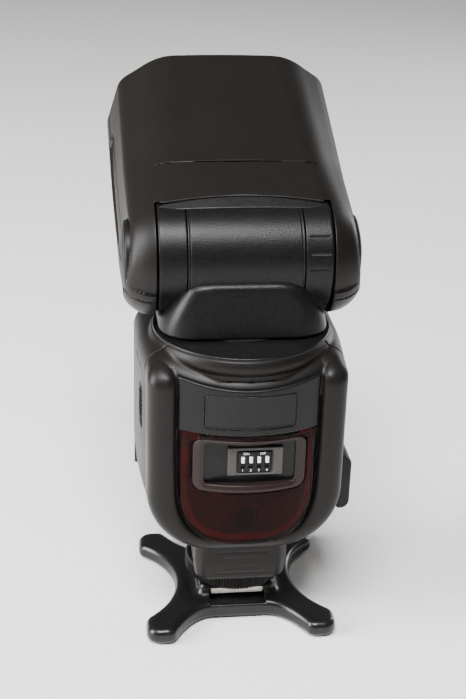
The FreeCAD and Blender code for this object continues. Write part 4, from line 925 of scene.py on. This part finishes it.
def make_sensor():
    """The dark square sensor with a small dome."""

    def sensor(x, y, z):
        lens = 0.5 * np.exp(-((np.hypot(x - SENSOR_X, z - SENSOR_Z) / 1.8) ** 2))
        return np.maximum(sensor_hole(x, z, 0), between(panel_depth(x, y), -4.4, -2.7 + lens))

    grid = (lines(-5, 4, 0.3), lines(-31.5, -26, 0.3), lines(41, 51, 0.3))
    square = surface("sensor_square", sensor, *grid)
    fit(square, "flash_body", "inner_black", "optical_sensor", finish="sensor_black")


def make_window_edge():
    """A brighter red sheet round the rim of the window, a painted highlight on the window's edge."""

    def edge(x, y, z):
        skin = between(panel_depth(x, y), -3.3, -2.3)
        sheet = np.maximum(skin, window_field(x, z, -0.2))
        return np.maximum(sheet, -np.minimum(tray_hole(x, z, 0), sensor_hole(x, z, 0.05)))

    x, z = window_grid()
    strip = surface("rim_highlight_sheet", edge, x, lines(-31.5, -19, 0.5), z)
    fit(strip, "flash_body", "red_window", finish="red_edge")


def make_tray_rim():
    """The sloped smoky rim of the switch's tray."""

    def rim(x, y, z):
        inner = rounded((between(x, -14.5, 15.2), between(z, 59.4, 74.9)), 2.0)
        skin = panel_depth(x, y)
        slope = 0.33 * smooth_step(1 - inner)
        ring = np.maximum(tray_hole(x, z, -0.05), -inner - 0.2 * (skin + 3))
        return smooth_max(ring, between(skin, -4.5, 0.12 - slope), 0.5)

    grid = (lines(-19, 19, 0.4), lines(-31.5, -25, 0.35), lines(56, 77, 0.4))
    fit(surface("tray_rim", rim, *grid), "flash_body", "tray_black", finish="rim_smoke")


def make_tray():
    """The tray's floor and the bevelled frame round the switch."""

    def floor(x, y, z):
        return rounded((between(x, -15.6, 16.3), between(z, 58.4, 76), between(y, -27.0, -25.6)), 0.4)

    def frame_field(x, y, z):
        outer = rounded((between(x, -6.6, 10.8), between(z, 62.3, 72.0)), 0.3)
        inner = rounded((between(x, -3.3, 7.3), between(z, 63.2, 70.6)), 0.3)
        face = -27.3 - np.clip(inner + 0.2, 0.0, 0.8) - y
        return np.maximum(np.maximum(outer, -inner), np.maximum(face, y + 26.8))

    grid = (lines(-17, 18), lines(-28, -25, 0.4), lines(58, 77))
    fit(surface("tray_floor", floor, *grid), "flash_body", "tray_black", "dip_tray")
    grid = (lines(-7.5, 11.5, 0.3), lines(-28.6, -26.5, 0.25), lines(61.5, 73, 0.3))
    piece = surface("switch_frame", frame_field, *grid)
    fit(piece, "flash_body", "tray_black", finish="frame_grey")


def make_switch():
    """The switch's block with a slot for each lever, the levers and the marks."""

    def block(x, y, z):
        offsets = (np.abs(x - SWITCH_X) - 5.2, between(z, 63.3, 70.5), between(y, SWITCH_FRONT, -26.5))
        nearest = np.clip(np.round((x - SWITCH_X) / LEVER_PITCH - 0.5), -2, 1) + 0.5
        across = np.abs(x - SWITCH_X - nearest * LEVER_PITCH) - 0.75
        slot = np.maximum(across, between(z, 64.75, 69.1))
        return np.maximum(rounded(offsets, 0.3), -np.maximum(slot, y + 27.4))

    grid = (lines(-4, 8, 0.25), lines(-28.6, -26.5, 0.3), lines(63, 71, 0.25))
    fit(surface("switch_block", block, *grid), "flash_body", "inner_black", "dip_housing")
    places = [SWITCH_X + LEVER_PITCH * (index - 1.5) for index in range(4)]
    for number, x in enumerate(places, start=1):
        make_lever(number, x)
    make_mark("ON", SWITCH_X - 2.8, 69.95)
    make_mark("DIP", SWITCH_X + 2.4, 69.95)
    for number, x in enumerate(places, start=1):
        make_mark(str(number), x, 64.05)


def make_lever(number, place):
    low = low_high(f"dip_slider_{number}", 2)[0]
    middle = low + 1

    def lever(x, y, z):
        waist = 0.12 * np.exp(-(((z - middle) / 0.25) ** 2))
        offsets = (np.abs(x - place) - 0.55, between(y, -28.9, -27.3), np.abs(z - middle) - 1.0)
        return rounded(offsets, 0.25) + waist

    grid = (lines(place - 1, place + 1, 0.12), lines(-29.5, -27, 0.15), lines(low, low + 2, 0.15))
    piece = surface(f"lever_{number}", lever, *grid)
    fit(piece, f"dip_lever_{number}", "lever_white", f"dip_slider_{number}")


def make_mark(text, x, z):
    """A small printed mark on the switch, a hair above its face."""
    mesh = text_mesh(text, MARK_SIZE, 0.03)
    place = Matrix.Translation(Vector((x, SWITCH_FRONT - 0.04, z)) * MM)
    mesh.transform(place @ Matrix.Rotation(math.pi / 2, 4, "X") @ Matrix.Scale(MM, 4))
    fit(new_piece(f"mark_{text}", mesh), "flash_body", "lever_white")


def make_badge():
    """A blank plate with a fine raised border line."""

    def plate(x, y, z):
        outline = badge_outline(x, z, 0)
        line = 0.16 * np.exp(-(((outline + 0.35) / 0.2) ** 2))
        return smooth_max(outline, between(panel_depth(x, y), -0.8, line - 0.02), 0.1)

    grid = (lines(-14.6, 14.6, 0.25), lines(-31.5, -27.5, 0.35), lines(*low_high("badge", 2), 0.25))
    fit(surface("badge_plate", plate, *grid), "flash_body", "badge_black", "badge")


# ---- foot and stand ----------------------------------------------------------------------------

TEETH = 100
SPIGOT_RADIUS = 9
STAND_SHIFT = sum(low_high("stand_base", 1)) / 2
PAD_X = 26.3
PAD_Y = 25.1
SHOE_BACK = 7.1


def make_foot():
    """The tapered block under the body, with an embossed frame on its front."""
    half = low_high("foot_block", 0)[1]
    front, back = low_high("foot_block", 1)

    def foot(x, y, z):
        taper = 0.10 * np.clip(24 - z, 0, 8)
        sides = np.abs(x) - half + taper
        depth = between(y, front + taper, back - taper)
        corner = (sides + depth) / 1.414 + 2.1
        plan = smooth_max(smooth_max(sides, depth, 1.0), corner, 1.0)
        block = smooth_max(plan, between(z, 17, 34), 2.2)
        outer = rounded((np.abs(x) - 9.2, between(z, 20.4, 28.6)), 0.8)
        inner = rounded((np.abs(x) - 6.2, between(z, 22, 26.6)), 0.6)
        emboss = 0.14 * np.exp(-((outer / 0.35) ** 2)) + 0.1 * smooth_step(0.5 - inner / 0.5)
        spigot = np.maximum(np.hypot(x, y) - SPIGOT_RADIUS, between(z, 11.4, 18))
        return np.minimum(block + emboss * (y < front + 3), spigot)

    grid = (lines(-16, 16, 0.4), lines(front, back, 0.5), lines(11, 34, 0.4))
    fit(surface("foot_housing", foot, *grid), "flash_body", "moulded_black", "foot_block")


def make_lock_ring():
    """The knurled wheel round the foot's spigot."""
    low, high = low_high("lock_ring", 2)
    radius = low_high("lock_ring", 0)[1]

    def ring(x, y, z):
        reach = np.hypot(x, y)
        rib = 0.3 * np.cos(np.arctan2(y, x) * TEETH) * smooth_step(high - 0.6 - z)
        disc = smooth_max(reach - radius + 0.3 - rib, between(z, low, high), 1.0)
        return np.maximum(disc, SPIGOT_RADIUS + 0.1 - reach)

    across = lines(-17, 17, 0.26)
    piece = surface("lock_wheel_ring", ring, across, across, lines(low, high, 0.5))
    fit(piece, "lock_wheel", "moulded_black", "lock_ring")


def stand_legs(x, y, z):
    """Four legs: a block with round bites out of its four sides, thinner towards the feet."""
    across = np.abs(x)
    along = np.abs(y - STAND_SHIFT)
    side = low_high("stand_base", 0)[1]
    reach = low_high("stand_base", 1)[1] - STAND_SHIFT
    block = rounded((across - side, along - reach), 4.6)
    waist = 25.3 - np.hypot(across - 45.8, along)
    past = np.maximum(across - 8.5, 0)
    wall = (along - 17.6 - 0.066 * past**2) / np.hypot(1, 0.132 * past)
    plan = smooth_max(smooth_max(block, waist, 1.5), wall, 1.5)
    top = 6.0 + 0.035 * (31 - np.hypot(x, y))
    return smooth_max(plan + 0.09 * z - 0.05, between(z, 0.4, top), 2.4)


def stand_hub(x, y, z):
    """The raised middle that carries the shoe."""
    top = low_high("stand_base", 2)[1]
    hub = rounded((np.abs(x) - 13, between(y, -12.3, 13)), 2.5)
    hub = smooth_max(hub + 0.06 * (z - 6), z - top, 1.6)
    return np.maximum(hub, 1 - z)


def make_stand():
    def stand(x, y, z):
        across = np.abs(x)
        blank = smooth_min(stand_legs(x, y, z), stand_hub(x, y, z), 3.5)
        slot = np.maximum(np.maximum(across - 9.4, y - SHOE_BACK), between(z, 5.5, 8.8))
        throat = np.maximum(np.maximum(across - 6.3, y - SHOE_BACK), 8 - z)
        seat = np.maximum(np.hypot(x, y) - 5, z - 5.2)
        pads = np.hypot(across - PAD_X, np.abs(y - STAND_SHIFT) - PAD_Y) - 3.6
        blank = smooth_max(blank, -np.minimum(slot, throat), 0.35)
        return np.maximum(np.maximum(blank, -seat), -np.maximum(pads, z - 1.4))

    front, back = low_high("stand_base", 1)
    grid = (lines(-32.5, 32.5, 0.5), lines(front, back, 0.5), lines(0, 11, 0.45))
    fit(surface("stand_body", stand, *grid), "stand", "gloss_black", "stand_base")


# ---- rear panel --------------------------------------------------------------------------------

KEY_FLOOR = 26.6
PAD_MIDDLE = 53
KEYS = {
    "mode_button": "mode_key",
    "power_button": "power_key",
    "pilot_button": "pilot_key",
    "ok_button": "ok_key",
}


def disc_of(node):
    """A round node's middle, radius and outer face, in millimetres."""
    near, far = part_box(node)
    return (near + far) / 2 / MM, (far.x - near.x) / 2 / MM, far.y / MM


def make_control_panel():
    """The glossy panel, with openings for the display, the keys and the pad."""
    skin = low_high("rear_panel", 1)[1]
    half = low_high("rear_panel", 0)[1]
    low, high = low_high("rear_panel", 2)

    def panel(x, y, z):
        plate = rounded((np.abs(x) - half, between(z, low, high)), 5.5)
        plate = smooth_max(plate, between(y, 26.3, skin), 0.9)
        plate = smooth_max(plate, -rounded((np.abs(x) - 22, between(z, 66, 90)), 1.5), 0.4)
        for node in ("mode_button", "power_button", "pilot_button", "pad_ring"):
            middle, radius, _ = disc_of(node)
            hole = radius + 0.25 - np.hypot(x - middle.x, z - middle.z)
            plate = smooth_max(plate, hole, 0.4)
        return plate

    grid = (lines(-27, 27, 0.45), lines(25.5, 29, 0.35), lines(low, high, 0.45))
    fit(surface("control_panel", panel, *grid), "flash_body", "gloss_black", "rear_panel")


def make_key(node, body_name):
    """A round key with a slightly dished face."""
    middle, radius, top = disc_of(node)

    def key(x, y, z):
        reach = np.hypot(x - middle.x, z - middle.z)
        dish = 0.35 * np.exp(-((reach / (radius * 0.7)) ** 2))
        return smooth_max(smooth_max(reach - radius, y - top + dish, 0.7), KEY_FLOOR - y, 0.2)

    x, z = (lines(place - radius, place + radius, 0.3) for place in (middle.x, middle.z))
    piece = surface(f"{node}_cap", key, x, lines(26, top + 0.5, 0.3), z)
    fit(piece, body_name, "button_grey", node)


def make_pad():
    """The four-way pad: a rounded ring with a dimple at each quarter."""
    top = low_high("pad_ring", 1)[1]

    def pad(x, y, z):
        reach = np.hypot(x, z - PAD_MIDDLE)
        quarters = np.cos(2 * np.arctan2(z - PAD_MIDDLE, x)) ** 8
        dimple = 0.25 * np.exp(-((reach - 6.8) ** 2)) * quarters
        face = y - top + 0.04 * (reach - 6.6) ** 2 + dimple
        ring = np.maximum(reach - 9.4, 4.1 - reach)
        return smooth_max(smooth_max(face, ring, 0.8), KEY_FLOOR - y, 0.2)

    grid = (lines(-10, 10, 0.35), lines(26, 30.5, 0.3), lines(43, 63, 0.35))
    fit(surface("four_way_pad", pad, *grid), "pad_key", "button_grey", "pad_ring")


# ---- studio ------------------------------------------------------------------------------------

CAMERA_PLACE = Vector((-51.98, -378.15, 267.69)) * MM
CAMERA_RIGHT = Vector((0.99270, -0.11731, 0.02817))
CAMERA_UP = Vector((0.02352, 0.41720, 0.90851))
CAMERA_LENS = 66.98
SENSOR_WIDTH = 36
FLOOR_SIZE = 6
WORLD_STRENGTH = 0.2
LIGHTS = {
    "window_light": ((-0.9, -0.15, 0.45), (0, 0, 0.1), (0.4, 0.8), 26),
    "top_light": ((-0.15, -0.5, 1.15), (0, 0, 0.05), (0.6, 0.4), 34),
    "rear_light": ((0.75, 0.65, 0.3), (0, 0, 0.15), (0.12, 0.5), 3),
}


def make_camera():
    camera = bpy.data.cameras.new("camera")
    camera.lens = CAMERA_LENS
    camera.sensor_width = SENSOR_WIDTH
    thing = bpy.data.objects.new("camera", camera)
    back = CAMERA_RIGHT.cross(CAMERA_UP)
    turn = Matrix((CAMERA_RIGHT, CAMERA_UP, back)).transposed().to_4x4()
    thing.matrix_world = Matrix.Translation(CAMERA_PLACE) @ turn
    bpy.context.scene.collection.objects.link(thing)
    bpy.context.scene.camera = thing


def make_light(name, place, target, size, power):
    """A rectangular lamp, aimed at a target."""
    lamp = bpy.data.lights.new(name, "AREA")
    lamp.shape = "RECTANGLE"
    lamp.size, lamp.size_y = size
    lamp.energy = power
    thing = bpy.data.objects.new(name, lamp)
    thing.location = place
    aim = Vector(target) - Vector(place)
    thing.rotation_euler = aim.to_track_quat("-Z", "Y").to_euler()
    bpy.context.scene.collection.objects.link(thing)


def make_floor():
    """A plain pale sheet of paper."""
    bpy.ops.mesh.primitive_plane_add(size=FLOOR_SIZE)
    floor = bpy.context.object
    floor.name = "floor"
    finish = Finish("floor_paper")
    fibres = finish.spread(finish.noise(1.6, 4, 0.6), 0, 1)
    finish.tint(fibres, (0.78, 0.765, 0.75), (0.86, 0.85, 0.84))
    finish.bump(finish.noise(1.1, 3), 0.08)
    finish.set(Roughness=0.9)
    floor.data.materials.append(finish.material)


def make_world():
    world = bpy.data.worlds.new("studio")
    bpy.context.scene.world = world
    world.use_nodes = True
    sky = world.node_tree.nodes["Background"]
    sky.inputs["Color"].default_value = (1.0, 0.985, 0.97, 1)
    sky.inputs["Strength"].default_value = WORLD_STRENGTH


finish_cad_nodes()

make_head()
make_rear_band()
make_bezel()
make_lens()
make_hinge_trim()

make_barrel()
for dial_number, dial_angle in DIAL_NUMBERS.items():
    make_dial_number(dial_number, dial_angle)
make_neck()

make_front_casing()
make_front_panel()
make_rear_casing()
make_battery_lid()
make_latch()
make_port_cover()
make_platform()

make_pane()
make_backing()
make_sensor()
# The window's rim gets a brighter red sheet, a painted highlight.
make_window_edge()
make_tray_rim()
make_tray()
make_switch()
make_badge()

make_foot()
make_lock_ring()
make_stand()

make_control_panel()
for key_node, key_body in KEYS.items():
    make_key(key_node, key_body)
make_pad()

make_camera()
make_floor()
make_world()
for light_name, light_values in LIGHTS.items():
    make_light(light_name, *light_values)
